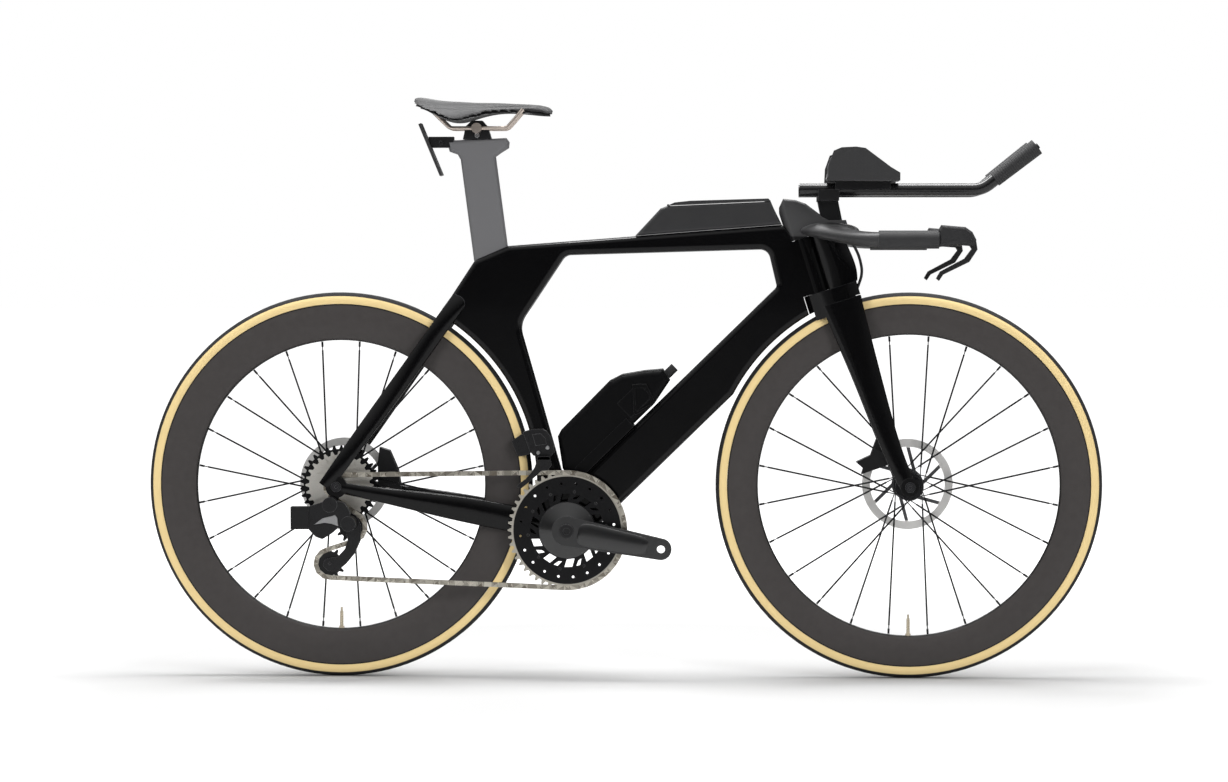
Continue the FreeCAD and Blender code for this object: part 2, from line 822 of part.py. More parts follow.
HEAD_STEP_SHARE = 0.55
frame_outline = [
    corner(collar_rear, S.corner_medium),
    corner(collar_front, S.corner_medium),
    corner(top_front),
    corner(steer(-S.stem_rear * HEAD_STEP_SHARE - S.nose_gap, 0, HEAD_TOP)),
    corner(steer(0, 0, HEAD_TOP)),
    corner(steer(0, 0, HEAD_LOW)),
    corner(steer(-S.crown_pocket, 0, HEAD_LOW)),
    corner(steer(-S.crown_pocket, 0, HEAD_LOW - S.crown_height * POCKET_DEPTH_SHARE)),
    corner(down_tube(tube_length * TUBE_END_SHARE, -S.down_tube_below)),
    corner(down_tube(0, -S.down_tube_below), S.corner_medium),
    corner(shell_low, S.corner_medium),
    corner(beside_rear_wheel(WHEEL_SIDE_ANGLES[0])),
    corner(beside_rear_wheel(WHEEL_SIDE_ANGLES[1])),
    corner(beside_rear_wheel(WHEEL_SIDE_ANGLES[2])),
    corner(seat_tail, S.corner_medium),
]
head_back = steer(-S.head_depth_low, 0, HEAD_LOW)
head_back_rise = (S.down_tube_above - (head_back - BRACKET).dot(TUBE_N)) / STEER_W.dot(TUBE_N)
triangle_outline = [
    corner(down_tube(S.triangle_foot, S.down_tube_above), S.corner_small),
    corner(BRACKET + Vector(-S.seat_knee_back, 0, S.seat_knee_height), S.corner_large),
    corner(top_tube(S.triangle_rear, -S.top_tube_depth), S.corner_medium),
    corner(steer(-S.head_depth_top, 0, HEAD_TOP), S.corner_medium),
    corner(head_back + STEER_W * head_back_rise, S.corner_small),
]
frame_body = new_body("FrameBody")
pad(frame_body, "FrameSide", rounded(frame_outline), "frame_width / 2", symmetric=False)
pocket(frame_body, "FrameTriangle", rounded(triangle_outline))
pocket(frame_body, "RearWheelRoom", [circle(REAR_HUB.x, REAR_HUB.z, wheel_room)])
wheel_cut = pocket(frame_body, "FrontWheelRoom", [circle(FRONT_HUB.x, FRONT_HUB.z, wheel_room)])


def behind_head(middle):
    return (middle - STEER_FOOT).dot(STEER_U) < -S.crown_pocket - S.part_gap


side_fillet(frame_body, "FrameEdges", wheel_cut, half_frame, "frame_edge_radius", behind_head)
head_tube = cylinder("HeadTube", "head_radius", "head_length", steer(0, 0, HEAD_LOW), STEER_W)
bracket_shell = cylinder("BracketShell", "bb_shell_radius", "bb_shell_width",
                         BRACKET - Y_AXIS * (S.bb_shell_width / 2), Y_AXIS)
frame_solid = fuse("FrameSolid", [frame_body, mirrored("FrameMirror", frame_body), head_tube, bracket_shell])
frame_solid.Refine = True


def face_of(edges):
    return Part.Face(Part.Wire(Part.__sortEdges__([edge.toShape() for edge in edges])))


def disc_face(centre, radius):
    return Part.Face(Part.Wire(Part.makeCircle(radius, flat(centre.x, centre.z))))


skin = face_of(rounded(frame_outline)).cut(face_of(rounded(triangle_outline)))
skin = skin.cut(disc_face(REAR_HUB, wheel_room)).cut(disc_face(FRONT_HUB, wheel_room))
core_face = skin.Faces[0].makeOffset2D(-S.frame_wall, 2)
core = core_face.extrude(Z_AXIS * (S.frame_width - 2 * S.frame_wall))
core_space = feature("CoreSpace", core, Placement(
    Y_AXIS * (S.frame_width / 2 - S.frame_wall), Rotation(X_AXIS, Z_AXIS, -Y_AXIS, "ZXY")))
stem_room = cylinder("StemRoom", "stem_rear + nose_gap + part_gap", "head_length", steer(0, 0, HEAD_TOP),
                     STEER_W)
stem_wall = cylinder("StemRoomWall", "stem_rear + nose_gap + part_gap + frame_wall", "head_length",
                     steer(0, 0, HEAD_TOP - S.frame_wall), STEER_W)
frame_core = cut("FrameCore", core_space, stem_wall)
post_slot = box("PostSlot", "post_depth + 2 * post_clearance", "post_width + 2 * post_clearance",
                "post_insert + post_travel_room + post_height", Vector())
post_slot.Placement = Placement(POST.multVec(Vector(
    -S.post_depth / 2 - S.post_clearance, -S.post_width / 2 - S.post_clearance,
    -S.post_insert - S.post_travel_room)), POST.Rotation)
steerer_bore = cylinder("SteererBore", "steerer_radius + part_gap", "head_length", steer(0, 0, HEAD_LOW),
                        STEER_W)
low_seat = cylinder("LowBearingSeat", "bearing_radius", "bearing_height", steer(0, 0, HEAD_LOW), STEER_W)
top_seat = cylinder("TopBearingSeat", "bearing_radius", "bearing_height",
                    steer(0, 0, HEAD_TOP - S.bearing_height), STEER_W)
cup_bore = cylinder("CupBore", "bearing_cup_radius", "bb_shell_width",
                    BRACKET - Y_AXIS * (S.bb_shell_width / 2), Y_AXIS)
frame_room = fuse("FrameRoom", [frame_core, stem_room, post_slot, steerer_bore, low_seat, top_seat,
                                cup_bore])
node(cut("frame", frame_solid, frame_room), "frame")

# Bearings: two in the head tube about the steerer, one pair of cups in the bracket shell
bearings = []
for place in (HEAD_LOW, HEAD_TOP - S.bearing_height):
    outer = cylinder("HeadBearing", "bearing_radius", "bearing_height", steer(0, 0, place), STEER_W)
    inner = cylinder("HeadBearingBore", "steerer_radius + running_clearance", "bearing_height",
                     steer(0, 0, place), STEER_W)
    bearings.append(cut("HeadBearingRing", outer, inner))
cup_body = cylinder("CupBody", "bearing_cup_radius", "bb_shell_width",
                    BRACKET - Y_AXIS * (S.bb_shell_width / 2), Y_AXIS)
cup_hole = cylinder("CupHole", "spindle_radius + running_clearance", "bb_shell_width",
                    BRACKET - Y_AXIS * (S.bb_shell_width / 2), Y_AXIS)
bearings.append(cut("BracketCups", cup_body, cup_hole))
node(compound("frame_bearings", bearings), "frame_bearings")


def axle(label, hub, length):
    """Through axle with a low head on each side."""
    pin = cylinder(label + "Pin", "axle_radius", length, hub, Y_AXIS)
    doc.recompute()
    reach = pin.Height.Value / 2
    pin.Placement = Placement(hub - Y_AXIS * reach, facing(Y_AXIS))
    pieces = [pin]
    for side in (RIGHT, LEFT):
        start = hub + Y_AXIS * (side * reach)
        pieces.append(cylinder(label + "Head", "axle_head_radius", "axle_head_length", start, Y_AXIS * side))
    return node(fuse(label, pieces), label)


rear_axle = axle("rear_axle", REAR_HUB, "rear_spacing + 2 * dropout_thickness")
axle("front_axle", FRONT_HUB, "front_spacing + 2 * fork_tip_thickness")

# Rear triangle: each side a seatstay and a chainstay that widen into one dropout on the axle
SEATSTAY_STATION_SHARES = (0.0, 0.16, 0.42, 0.70, 0.875, 1.0)
SEATSTAY_SPREAD_SHARES = (0.15, 0.36, 0.47, 0.80, 1.0, 1.0)
SEATSTAY_DEPTH_SHARES = (0.5, 0.5, 0.5, 0.48, 0.44, 0.42)
CHAINSTAY_STATION_SHARES = (0.0, 0.105, 0.285, 0.52, 0.75, 0.9, 1.0)
CHAINSTAY_SPREAD_SHARES = (1.0, 1.0, 0.80, 0.53, 0.38, 0.36, 0.36)
CHAINSTAY_DEPTH_SHARES = (0.24, 0.26, 0.36, 0.50, 0.55, 0.52, 0.46)
CHAINSTAY_END_SHARES = (-0.5, 0.1)
dropout_middle = (S.rear_spacing + S.dropout_thickness) / 2
stay_top = CLUSTER + Vector(-S.stay_top_back, 0, -S.stay_top_drop)
stay_foot = REAR_HUB - X_AXIS * S.stay_foot_back
bracket_end = BRACKET + Vector(CHAINSTAY_END_SHARES[0], 0, CHAINSTAY_END_SHARES[1]) * S.bb_shell_radius


def stay(name, side, start, stop, stations, spreads, depths, depth_alias, plates):
    """Lofted stay along a straight side-view line; the sections at the axle are plate thick."""
    run = (stop - start).normalize()
    across = Vector(-run.z, 0, run.x)
    sections = []
    for station, spread, depth in zip(stations, spreads, depths):
        centre = start + (stop - start) * station + Y_AXIS * (side * dropout_middle * spread)
        thick = "dropout_thickness / 2" if station in plates else "stay_thickness / 2"
        sections.append((centre, across, run, "%s * %s" % (depth_alias, depth), thick))
    return loft(name, sections)


stay_sides = []
stay_pieces = []
for side, name in ((RIGHT, "Right"), (LEFT, "Left")):
    seatstay = stay("Seatstay" + name, side, stay_top, stay_foot, SEATSTAY_STATION_SHARES,
                    SEATSTAY_SPREAD_SHARES, SEATSTAY_DEPTH_SHARES, "stay_depth", SEATSTAY_STATION_SHARES[-2:])
    chainstay = stay("Chainstay" + name, side, REAR_HUB, bracket_end, CHAINSTAY_STATION_SHARES,
                     CHAINSTAY_SPREAD_SHARES, CHAINSTAY_DEPTH_SHARES, "chainstay_depth",
                     CHAINSTAY_STATION_SHARES[:2])
    plate = cylinder("Dropout" + name, "dropout_radius", "dropout_thickness",
                     REAR_HUB + Y_AXIS * (side * dropout_middle - S.dropout_thickness / 2), Y_AXIS)
    stay_pieces.append([seatstay, chainstay, plate])
    stays = fuse("Stays" + name, stay_pieces[-1])
    stay_sides.append(cut_each("StaySide" + name, stays, [frame_solid, rear_axle]))

# Seat post: aero blade that slides in the seat tube, with a long head for the saddle clamp
POST_HEAD_SHARES = ((0.50, -0.04), (0.66, 0.10), (0.90, 0.28), (0.94, 0.55), (0.87, 0.76), (-0.82, 1.0),
                    (-0.78, 0.47), (-0.56, 0.29), (-0.50, 0.04))
post_points = [(side * S.post_depth / 2, -S.post_insert, S.corner_small) for side in (-1, 1)]
post_points += [(S.post_depth * a, S.post_height + S.post_head_height * b, 0) for a, b in POST_HEAD_SHARES]
seat_post = node(side_pad("seat_post", post_points, "post_width", POST, "post_edge_radius", S.post_width / 2),
                 "seat_post")

# Saddle clamp: a yoke on the post head holds a barrel; the barrel grips the two rails and can tilt
CLAMP_SHARES = ((-0.5, -1.0), (0.5, -1.0), (0.36, 0.2), (0.18, 0.72), (-0.18, 0.72), (-0.40, 0.2))
head_front_share = POST_HEAD_SHARES[4][1]
head_rear_share = POST_HEAD_SHARES[5][1]
head_middle = post(0, S.post_height + S.post_head_height * (head_front_share + head_rear_share) / 2)
BARREL = head_middle + Vector(S.barrel_forward, 0, S.barrel_height)
yoke_points = [(S.clamp_length * x, S.barrel_height * z, 0) for x, z in CLAMP_SHARES]
yoke = side_pad("Yoke", yoke_points, "clamp_width", Placement(BARREL, Rotation()))
yoke_bore = cylinder("YokeBore", "barrel_radius + barrel_clearance", "clamp_width",
                     BARREL - Y_AXIS * (S.clamp_width / 2), Y_AXIS)
yoke_body = cut("YokeBody", yoke, fuse("YokeTools", [yoke_bore, seat_post]))

RAIL_STATION_SHARES = (-0.335, -0.19, 0.215, 0.33)
RAIL_RISE_SHARES = (0.74, 0.0, 0.0, 0.70)


def rail(side):
    points = [BARREL + Vector(S.saddle_length * x, side * S.rail_spacing / 2, S.saddle_height * z)
              for x, z in zip(RAIL_STATION_SHARES, RAIL_RISE_SHARES)]
    return tube("saddle rail", points, [S.rail_bend_radius] * 2, S.rail_radius)


# Saddle: arched shell with a padded cover that is crowned, drawn in at the sides and short in the nose
SADDLE_STATION_SHARES = (0.0, 0.03, 0.12, 0.25, 0.45, 0.68, 0.88, 0.97, 1.0)
SADDLE_HALF_SHARES = (0.26, 0.36, 0.47, 0.50, 0.33, 0.185, 0.15, 0.125, 0.09)
SADDLE_TOP_SHARES = (0.93, 0.99, 0.94, 0.86, 0.81, 0.80, 0.75, 0.60, 0.46)
SADDLE_LOW_SHARES = (0.72, 0.60, 0.40, 0.10, 0.20, 0.38, 0.30, 0.27, 0.28)
SADDLE_ARCH_SHARE = 0.5


def saddle_section(index, top_drop, low_drop, inset):
    """Closed section: two side points joined by an upper and a lower arch."""
    x = S.saddle_length * SADDLE_STATION_SHARES[index]
    half = S.saddle_width * SADDLE_HALF_SHARES[index] - inset
    low = S.saddle_base + S.saddle_height * SADDLE_LOW_SHARES[index]
    top = S.saddle_base + S.saddle_height * SADDLE_TOP_SHARES[index]
    arch = low + (top - low) * SADDLE_ARCH_SHARE
    left = Vector(x, half, low)
    right = Vector(x, -half, low)
    upper = Vector(x, 0, top if top_drop == 0 else arch - top_drop)
    lower = Vector(x, 0, arch - low_drop)
    return Part.Wire([Part.Arc(left, upper, right).toShape(), Part.Arc(right, lower, left).toShape()])


saddle_place = Placement(BARREL + Vector(-S.saddle_rear, 0, 0), Rotation())
stations = range(len(SADDLE_STATION_SHARES))
cover_shape = Part.makeLoft([saddle_section(i, 0, 0, 0) for i in stations], True, False)
shell_low_drop = S.part_gap + S.shell_thickness
shell_shape = Part.makeLoft(
    [saddle_section(i, S.part_gap, shell_low_drop, S.shell_thickness) for i in stations[1:-1]], True, False)
saddle_cover = node(feature("saddle_cover", cover_shape, saddle_place), "saddle_cover")
saddle_shell = node(feature("saddle_shell", shell_shape, saddle_place), "saddle_shell")
rails = feature("Rails", Part.Compound([rail(RIGHT), rail(LEFT)]))
rail_tools = fuse("RailTools", [saddle_cover, saddle_shell])
rail_pair = cut("RailPair", rails, rail_tools)
barrel = cylinder("Barrel", "barrel_radius", "barrel_length", BARREL - Y_AXIS * (S.barrel_length / 2), Y_AXIS)
node(compound("saddle_rails", [rail_pair, cut("BarrelBody", barrel, rails)]), "saddle_rails")

# Rear accessory plate with two threaded holes, held behind the post head by a bracket
PLATE = Placement(head_middle + Vector(-S.plate_back, 0, -S.plate_drop), Rotation(Y_AXIS, -S.plate_angle))
plate_body = box("PlateBody", "plate_thickness", "plate_width", "plate_length", PLATE.Base, PLATE.Rotation)
plate_holes = []
for side in (-1, 1):
    start = PLATE.multVec(Vector(-S.plate_thickness, 0, side * S.plate_hole_spacing / 2))
    plate_holes.append(cylinder("PlateHole", "plate_hole_radius", "2 * plate_thickness", start,
                                PLATE.Rotation.multVec(X_AXIS)))
node(cut("accessory_plate", plate_body, fuse("PlateHoles", plate_holes)), "accessory_plate")
bracket_middle = PLATE.multVec(Vector(S.plate_bracket_length / 2, 0, S.plate_thickness))
bracket_body = box("BracketBody", "plate_bracket_length", "plate_bracket_width", "plate_bracket_height",
                   bracket_middle)
plate_bracket = cut("PlateBracket", bracket_body, fuse("BracketTools", [plate_body, seat_post]))
node(compound("saddle_clamp", [yoke_body, plate_bracket]), "saddle_clamp")

# Storage box on the top tube: hollow, open on top, closed by a lid hinged at its rear edge
BOX_SHARES = ((0.0, 0.01), (0.19, 0.83), (0.24, 0.895), (0.955, 0.79), (0.975, 0.52), (1.02, 0.01))
CAVITY_SHARES = ((0.10, 0.08), (0.22, 0.72), (0.29, 1.2), (0.90, 1.2), (0.92, 0.55), (0.94, 0.08))
LID_SHARES = ((0.243, 0.908), (0.29, 0.985), (0.40, 1.0), (0.94, 0.88), (0.955, 0.803))
BOX = Placement(top_tube(S.box_setback, 0), Rotation(TOP_T, Y_AXIS, TOP_N, "ZXY"))


def box_points(shares):
    return [(S.box_length * along, S.box_height * up, 0) for along, up in shares]


box_body = side_pad("BoxBody", box_points(BOX_SHARES), "box_width", BOX, "box_edge_radius", S.box_width / 2)
box_room = side_pad("BoxRoom", box_points(CAVITY_SHARES), "box_width - 2 * box_wall", BOX)
hinge_share, hinge_rise_share = LID_SHARES[0]
hinge_end = top_tube(S.box_setback + S.box_length * hinge_share, S.box_height * hinge_rise_share)
hinge_end -= Y_AXIS * (S.box_width / 2)
lid_barrel = cylinder("LidBarrel", "lid_barrel_radius", "box_width", hinge_end, Y_AXIS)
barrel_room = cylinder("LidBarrelRoom", "lid_barrel_radius + skin_gap", "box_width", hinge_end, Y_AXIS)
node(cut_each("storage_box", box_body, [box_room, barrel_room]), "storage_box")
lid_panel = side_pad("LidPanel", box_points(LID_SHARES), "box_width", BOX)
node(fuse("storage_lid", [lid_panel, lid_barrel]), "storage_lid")

# Bottle in a cradle on the down tube, with a panel on each side and a pull spout at its upper end
BOTTLE_SHARES = ((0.02, 0.0), (0.02, 0.36), (0.15, 0.92), (0.20, 0.97), (0.67, 1.0), (0.76, 0.914),
                 (0.89, 0.64), (0.985, 0.40), (0.965, 0.12), (0.78, 0.0))
PANEL_SHARES = (0.70, 0.34)
SPOUT_SHARES = (0.972, 0.25)
TUBE = Placement(BRACKET, TUBE_TURN)
bottle_low = S.down_tube_above + S.bottle_floor


def bottle_place(along, up):
    return down_tube(S.bottle_start + S.bottle_length * along, bottle_low + S.bottle_height * up)


bottle_points = [(S.bottle_start + S.bottle_length * along, bottle_low + S.bottle_height * up, 0)
                 for along, up in BOTTLE_SHARES]
bottle_body = side_pad("BottleBody", bottle_points, "bottle_width", TUBE, "bottle_edge_radius",
                       S.bottle_width / 2)
spout_start = bottle_place(*SPOUT_SHARES)
spout_room = cylinder("SpoutRoom", "spout_radius + part_gap", "spout_length",
                      spout_start - TUBE_S * S.part_gap, TUBE_S)
bottle_pieces = [cut("BottleShell", bottle_body, spout_room)]
node(cylinder("bottle_spout", "spout_radius", "spout_length", spout_start, TUBE_S), "bottle_spout")
for side in (RIGHT, LEFT):
    centre = bottle_place(*PANEL_SHARES) + Y_AXIS * (side * (S.bottle_width + S.cap_thickness) / 2)
    bottle_pieces.append(box("BottlePanel", "cap_length", "cap_thickness", "cap_height", centre, TUBE_TURN))
node(compound("bottle", bottle_pieces), "bottle")
cradle_middle = S.cradle_start + S.cradle_length / 2
cradle_base = down_tube(cradle_middle, S.down_tube_above + S.cradle_floor / 2)
cradle_pieces = [box("CradleFloor", "cradle_length", "bottle_width + 2 * part_gap + 2 * cradle_side",
                     "cradle_floor", cradle_base, TUBE_TURN)]
for side in (RIGHT, LEFT):
    wall_y = side * (S.bottle_width / 2 + S.part_gap + S.cradle_side / 2)
    centre = down_tube(cradle_middle, S.down_tube_above + S.cradle_height / 2) + Y_AXIS * wall_y
    cradle_pieces.append(box("CradleSide", "cradle_length", "cradle_side", "cradle_height", centre,
                             TUBE_TURN))
node(fuse("bottle_cradle", cradle_pieces), "bottle_cradle")

# Fork: elliptical crown under the head tube, two lofted legs, round tips on the axle
LEG_STATION_SHARES = (0.93, 0.71, 0.445, 0.15, 0.0)
LEG_FORWARD_SHARES = (0.67, 0.71, 0.75, 0.82, 0.96)
LEG_CHORD_SHARES = (0.50, 0.40, 0.30, 0.225, 0.20)
LEG_SPREAD_SHARES = (0.48, 0.58, 0.74, 0.93, 1.0)
LEG_THICKNESS_SHARES = (0.5, 0.5, 0.48, 0.44, 0.40)
crown_forward = (S.crown_front - S.crown_rear) / 2
crown_top = HEAD_LOW - S.part_gap
tip_middle = (S.front_spacing + S.fork_tip_thickness) / 2
crown_sections = []
for height in (crown_top, HEAD_LOW - S.crown_height):
    crown_sections.append((steer(crown_forward, 0, height), STEER_U, STEER_W,
                           "(crown_front + crown_rear) / 2", "crown_width / 2"))
fork_pieces = [loft("Crown", crown_sections)]
fork_tools = [cylinder("TyreSlot", "tyre_radius + wheel_gap", "tyre_slot",
                       FRONT_HUB - Y_AXIS * (S.tyre_slot / 2), Y_AXIS)]
for side in (RIGHT, LEFT):
    leg_sections = []
    for w, u, chord, spread, thick in zip(LEG_STATION_SHARES, LEG_FORWARD_SHARES, LEG_CHORD_SHARES,
                                          LEG_SPREAD_SHARES, LEG_THICKNESS_SHARES):
        centre = steer(S.fork_rake * u, side * tip_middle * spread, S.fork_length * w)
        leg_sections.append((centre, STEER_U, STEER_W, "leg_top_chord * %s" % chord,
                             "leg_thickness * %s" % thick))
    tip_start = FRONT_HUB + Y_AXIS * (side * tip_middle - S.fork_tip_thickness / 2)
    fork_pieces.append(loft("ForkLeg", leg_sections))
    fork_pieces.append(cylinder("ForkTip", "fork_tip_radius", "fork_tip_thickness", tip_start, Y_AXIS))
    fork_tools.append(cylinder("ForkTipBore", "axle_radius", "fork_tip_thickness", tip_start, Y_AXIS))
hub_room = cylinder("FrontHubRoom", "fork_tip_radius + part_gap", "front_spacing",
                    FRONT_HUB - Y_AXIS * (S.front_spacing / 2), Y_AXIS)
fork_body = cut("ForkBody", fuse("ForkSolid", fork_pieces), fuse("ForkTools", fork_tools + [hub_room]))
steerer = cylinder("Steerer", "steerer_radius", "head_length + 2 * part_gap", steer(0, 0, crown_top), STEER_W)
node(compound("fork", [fork_body, steerer]), "fork")

# Nose fairing: blade in front of the head tube that turns with the fork, hollowed round the head tube
NOSE_STATION_SHARES = (0.0, 0.2, 0.55, 1.0)
NOSE_FRONT_SHARES = (0.96, 1.02, 1.0, 0.99)
NOSE_REAR_SHARE = 0.18
nose_low = crown_top
nose_high = HEAD_TOP + S.part_gap
nose_sections = []
for station, front in zip(NOSE_STATION_SHARES, NOSE_FRONT_SHARES):
    height = nose_low + (nose_high - nose_low) * station
    centre = steer(S.nose_front * (front + NOSE_REAR_SHARE) / 2, 0, height)
    nose_sections.append((centre, STEER_U, STEER_W, "nose_front * %s" % ((front - NOSE_REAR_SHARE) / 2),
                          "nose_width / 2"))
nose_room = cylinder("NoseRoom", "head_radius + nose_gap", "head_length + crown_height",
                     steer(0, 0, HEAD_LOW - S.crown_height / 2), STEER_W)
nose = node(cut("nose_fairing", loft("NoseSolid", nose_sections), nose_room), "nose_fairing")

# Stem: humped cover over the head tube, round at the back so that it turns clear of the top tube
STEM_REAR_SHARES = ((-1.0, 0.0), (-1.0, 0.70), (-0.88, 0.83), (-0.40, 1.0))
STEM_FRONT_SHARES = ((0.12, 0.89), (0.30, 0.74), (0.55, 0.355), (0.70, 0.19), (1.0, 0.10), (1.0, 0.0))
stem_points = [(S.stem_rear * u, nose_high + S.stem_height * w, 0) for u, w in STEM_REAR_SHARES]
stem_points += [(S.stem_front * u, nose_high + S.stem_height * w, 0) for u, w in STEM_FRONT_SHARES]
stem_side = side_pad("StemSide", stem_points, "stem_width", STEER, "stem_edge_radius", S.stem_width / 2,
                     lambda middle: middle.z > nose_high + S.stem_height * STEM_FRONT_SHARES[3][1])
stem_round = cylinder("StemRound", "stem_rear", "stem_height", steer(0, 0, nose_high), STEER_W)
stem_block = box("StemBlock", "stem_front", "stem_width", "stem_height", Vector())
stem_block.Placement = Placement(steer(0, -S.stem_width / 2, nose_high), STEER_TURN)
stem = doc.addObject("Part::Common", "stem")
stem.Base = stem_side
stem.Tool = fuse("StemPlan", [stem_round, stem_block])
node(stem, "stem")

# Base bar: wings that sweep forward into round grips; hoods and levers at the ends
BAR_SPREAD_SHARES = (0.0, 0.30, 0.62, 0.87, 1.0)
BAR_FORWARD_SHARES = (0.40, 0.40, 0.52, 0.74, 1.0)
BAR_DROP_SHARES = (0.0, 0.06, 0.45, 0.85, 1.0)
BAR_CHORD_SHARES = (0.50, 0.49, 0.31, 0.19, 0.155)
BAR_THICKNESS_SHARES = (0.5, 0.5, 0.48, 0.47, 0.46)
BAR_HEADINGS = (0.0, 0.0, 14.0, 48.0, 88.0)
COCKPIT = steer(0, 0, HEAD_TOP)


def right_wing():
    sections = []
    for spread, forward, drop, chord, thick, heading in zip(
            BAR_SPREAD_SHARES, BAR_FORWARD_SHARES, BAR_DROP_SHARES, BAR_CHORD_SHARES, BAR_THICKNESS_SHARES,
            BAR_HEADINGS):
        turn = math.radians(heading)
        centre = COCKPIT + Vector(S.grip_start * forward, -S.bar_half_width * spread,
                                  S.bar_rise - S.bar_drop * drop)
        run = Vector(math.sin(turn), -math.cos(turn), 0)
        long_axis = Vector(math.cos(turn), math.sin(turn), 0)
        minor = "bar_thickness * %s" % thick
        sections.append((centre, long_axis, run, "max(bar_chord * %s; %s)" % (chord, minor), minor))
    return loft("Wing", sections)


wing = cut_each("RightWing", right_wing(), [nose_room, nose, stem])
wings = [wing, mirrored("LeftWing", wing)]
node(compound("base_bar", wings), "base_bar")

HOOD_SHARES = ((-0.02, 0.42), (0.06, 0.65), (0.70, 0.56), (0.89, 0.34), (1.0, -0.02), (0.95, -0.30),
               (0.43, -0.24), (-0.02, -0.34))
LEVER_SHARES = ((-0.113, 0.09), (0.113, 0.06), (0.16, -0.21), (-0.065, -0.53), (-0.774, -0.856),
                (-0.887, -1.015), (-0.968, -0.955), (-0.855, -0.773), (-0.194, -0.44), (0.0, -0.197),
                (-0.113, -0.03))
grip_solids = []
hood_solids = []
for side, name in ((RIGHT, "right"), (LEFT, "left")):
    grip_base = COCKPIT + Vector(S.grip_start, side * S.bar_half_width, S.bar_rise - S.bar_drop)
    grip_end = grip_base + X_AXIS * S.grip_length
    grip = cylinder("Grip", "grip_radius", "grip_length", grip_base, X_AXIS)
    grip_solids.append(cut("GripOnBar", grip, wings[0 if side == RIGHT else 1]))
    hood_points = [(S.hood_length * x, S.hood_height * z, 0) for x, z in HOOD_SHARES]
    hood = side_pad("Hood", hood_points, "hood_width", Placement(grip_end, Rotation()), "hood_edge_radius",
                    S.hood_width / 2)
    pivot = grip_end + Vector(S.lever_pivot_reach, 0, -S.lever_pivot_drop)
    slot = box("LeverSlot", "2 * lever_slot_depth + hood_length / 2", "lever_width + 2 * lever_side_gap",
               "2 * hood_height", pivot + X_AXIS * (S.hood_length / 4))
    pin_start = pivot - Y_AXIS * (S.hood_width / 2)
    pin = cylinder("LeverPin", "lever_pivot_radius", "hood_width", pin_start, Y_AXIS)
    hood_solids.append(cut("HoodBody", hood, fuse("HoodTools", [slot, pin, grip])))
    hood_solids.append(pin)
    lever_points = [(S.lever_length * x, S.lever_drop * z, 0) for x, z in LEVER_SHARES]
    lever_body = side_pad("LeverBody", lever_points, "lever_width", Placement(pivot, Rotation()))
    lever_bore = cylinder("LeverBore", "lever_pivot_radius + running_clearance", "hood_width", pin_start,
                          Y_AXIS)
    node(cut("brake_lever_" + name, lever_body, lever_bore), "brake_lever_" + name)
node(compound("bar_grips", grip_solids), "bar_grips")
node(compound("brake_hoods", hood_solids), "brake_hoods")

# Extensions: tubes bent up at the front, clamped between a bridge on the riser and the armrest brackets
BEND_DIRECTION = Rotation(Y_AXIS, -S.extension_angle).multVec(X_AXIS)
extension_solids = []
extension_bores = []
ext_grip_solids = []
for side, name in ((RIGHT, "right"), (LEFT, "left")):
    rear = COCKPIT + Vector(-S.extension_rear, side * S.extension_spread, S.extension_rise)
    bend = rear + X_AXIS * (S.extension_length - S.extension_bend_radius / 2)
    tip = bend + BEND_DIRECTION * S.extension_tip
    outside = tube("extension", [rear, bend, tip], [S.extension_bend_radius], S.extension_radius)
    inside = tube("extension bore", [rear, bend, tip], [S.extension_bend_radius],
                  S.extension_radius - S.extension_wall)
    extension_solids.append(feature("ExtensionTube", outside.cut(inside)))
    extension_bores.append(feature("ExtensionRoom", outside))
    grip_start = tip - BEND_DIRECTION * (S.ext_grip_length - S.ext_grip_end)
    sleeve = doc.addObject("Part::Cone", "ExtGrip")
    bind(sleeve, Radius1="ext_grip_radius - ext_grip_flare / 2", Height="ext_grip_length",
         Radius2="ext_grip_radius + ext_grip_flare / 2")
    sleeve.Placement = Placement(grip_start, facing(BEND_DIRECTION))
    sleeve_bore = cylinder("ExtGripBore", "extension_radius + skin_gap", "ext_grip_length - ext_grip_end",
                           grip_start, BEND_DIRECTION)
    button_base = tip + BEND_DIRECTION * (S.ext_grip_end + S.button_stand_out - S.button_length)
    button_room = cylinder("ButtonRoom", "button_radius + button_clearance", "ext_grip_length", tip,
                           BEND_DIRECTION)
    ext_grip_solids.append(cut("ExtGripBody", sleeve, fuse("ExtGripTools", [sleeve_bore, button_room])))
    node(cylinder("shift_button_" + name, "button_radius", "button_length", button_base, BEND_DIRECTION),
         "shift_button_" + name)
node(compound("extension_tubes", extension_solids), "extension_tubes")
node(compound("extension_grips", ext_grip_solids), "extension_grips")

RISER_SHARES = ((-0.5, 0.0), (0.5, 0.0), (0.5, 1.0), (-0.5, 1.0))
riser_height = S.extension_rise - S.bridge_height - S.riser_base
riser_points = [(S.riser_reach + S.riser_length * x - S.riser_lean * z, S.riser_base + riser_height * z, 0)
                for x, z in RISER_SHARES]
riser = side_pad("RiserBody", riser_points, "riser_width", Placement(COCKPIT, Rotation()))
brackets = [cut_each("RiserFoot", riser, [stem] + wings)]
bridge_middle = COCKPIT + Vector(S.riser_reach - S.riser_lean, 0, S.extension_rise - S.bridge_height / 2)
bridge = box("BridgeBody", "riser_length", "2 * bridge_half_width", "bridge_height", bridge_middle)
brackets.append(cut("BridgeOnTubes", bridge, fuse("BridgeTools", extension_bores)))

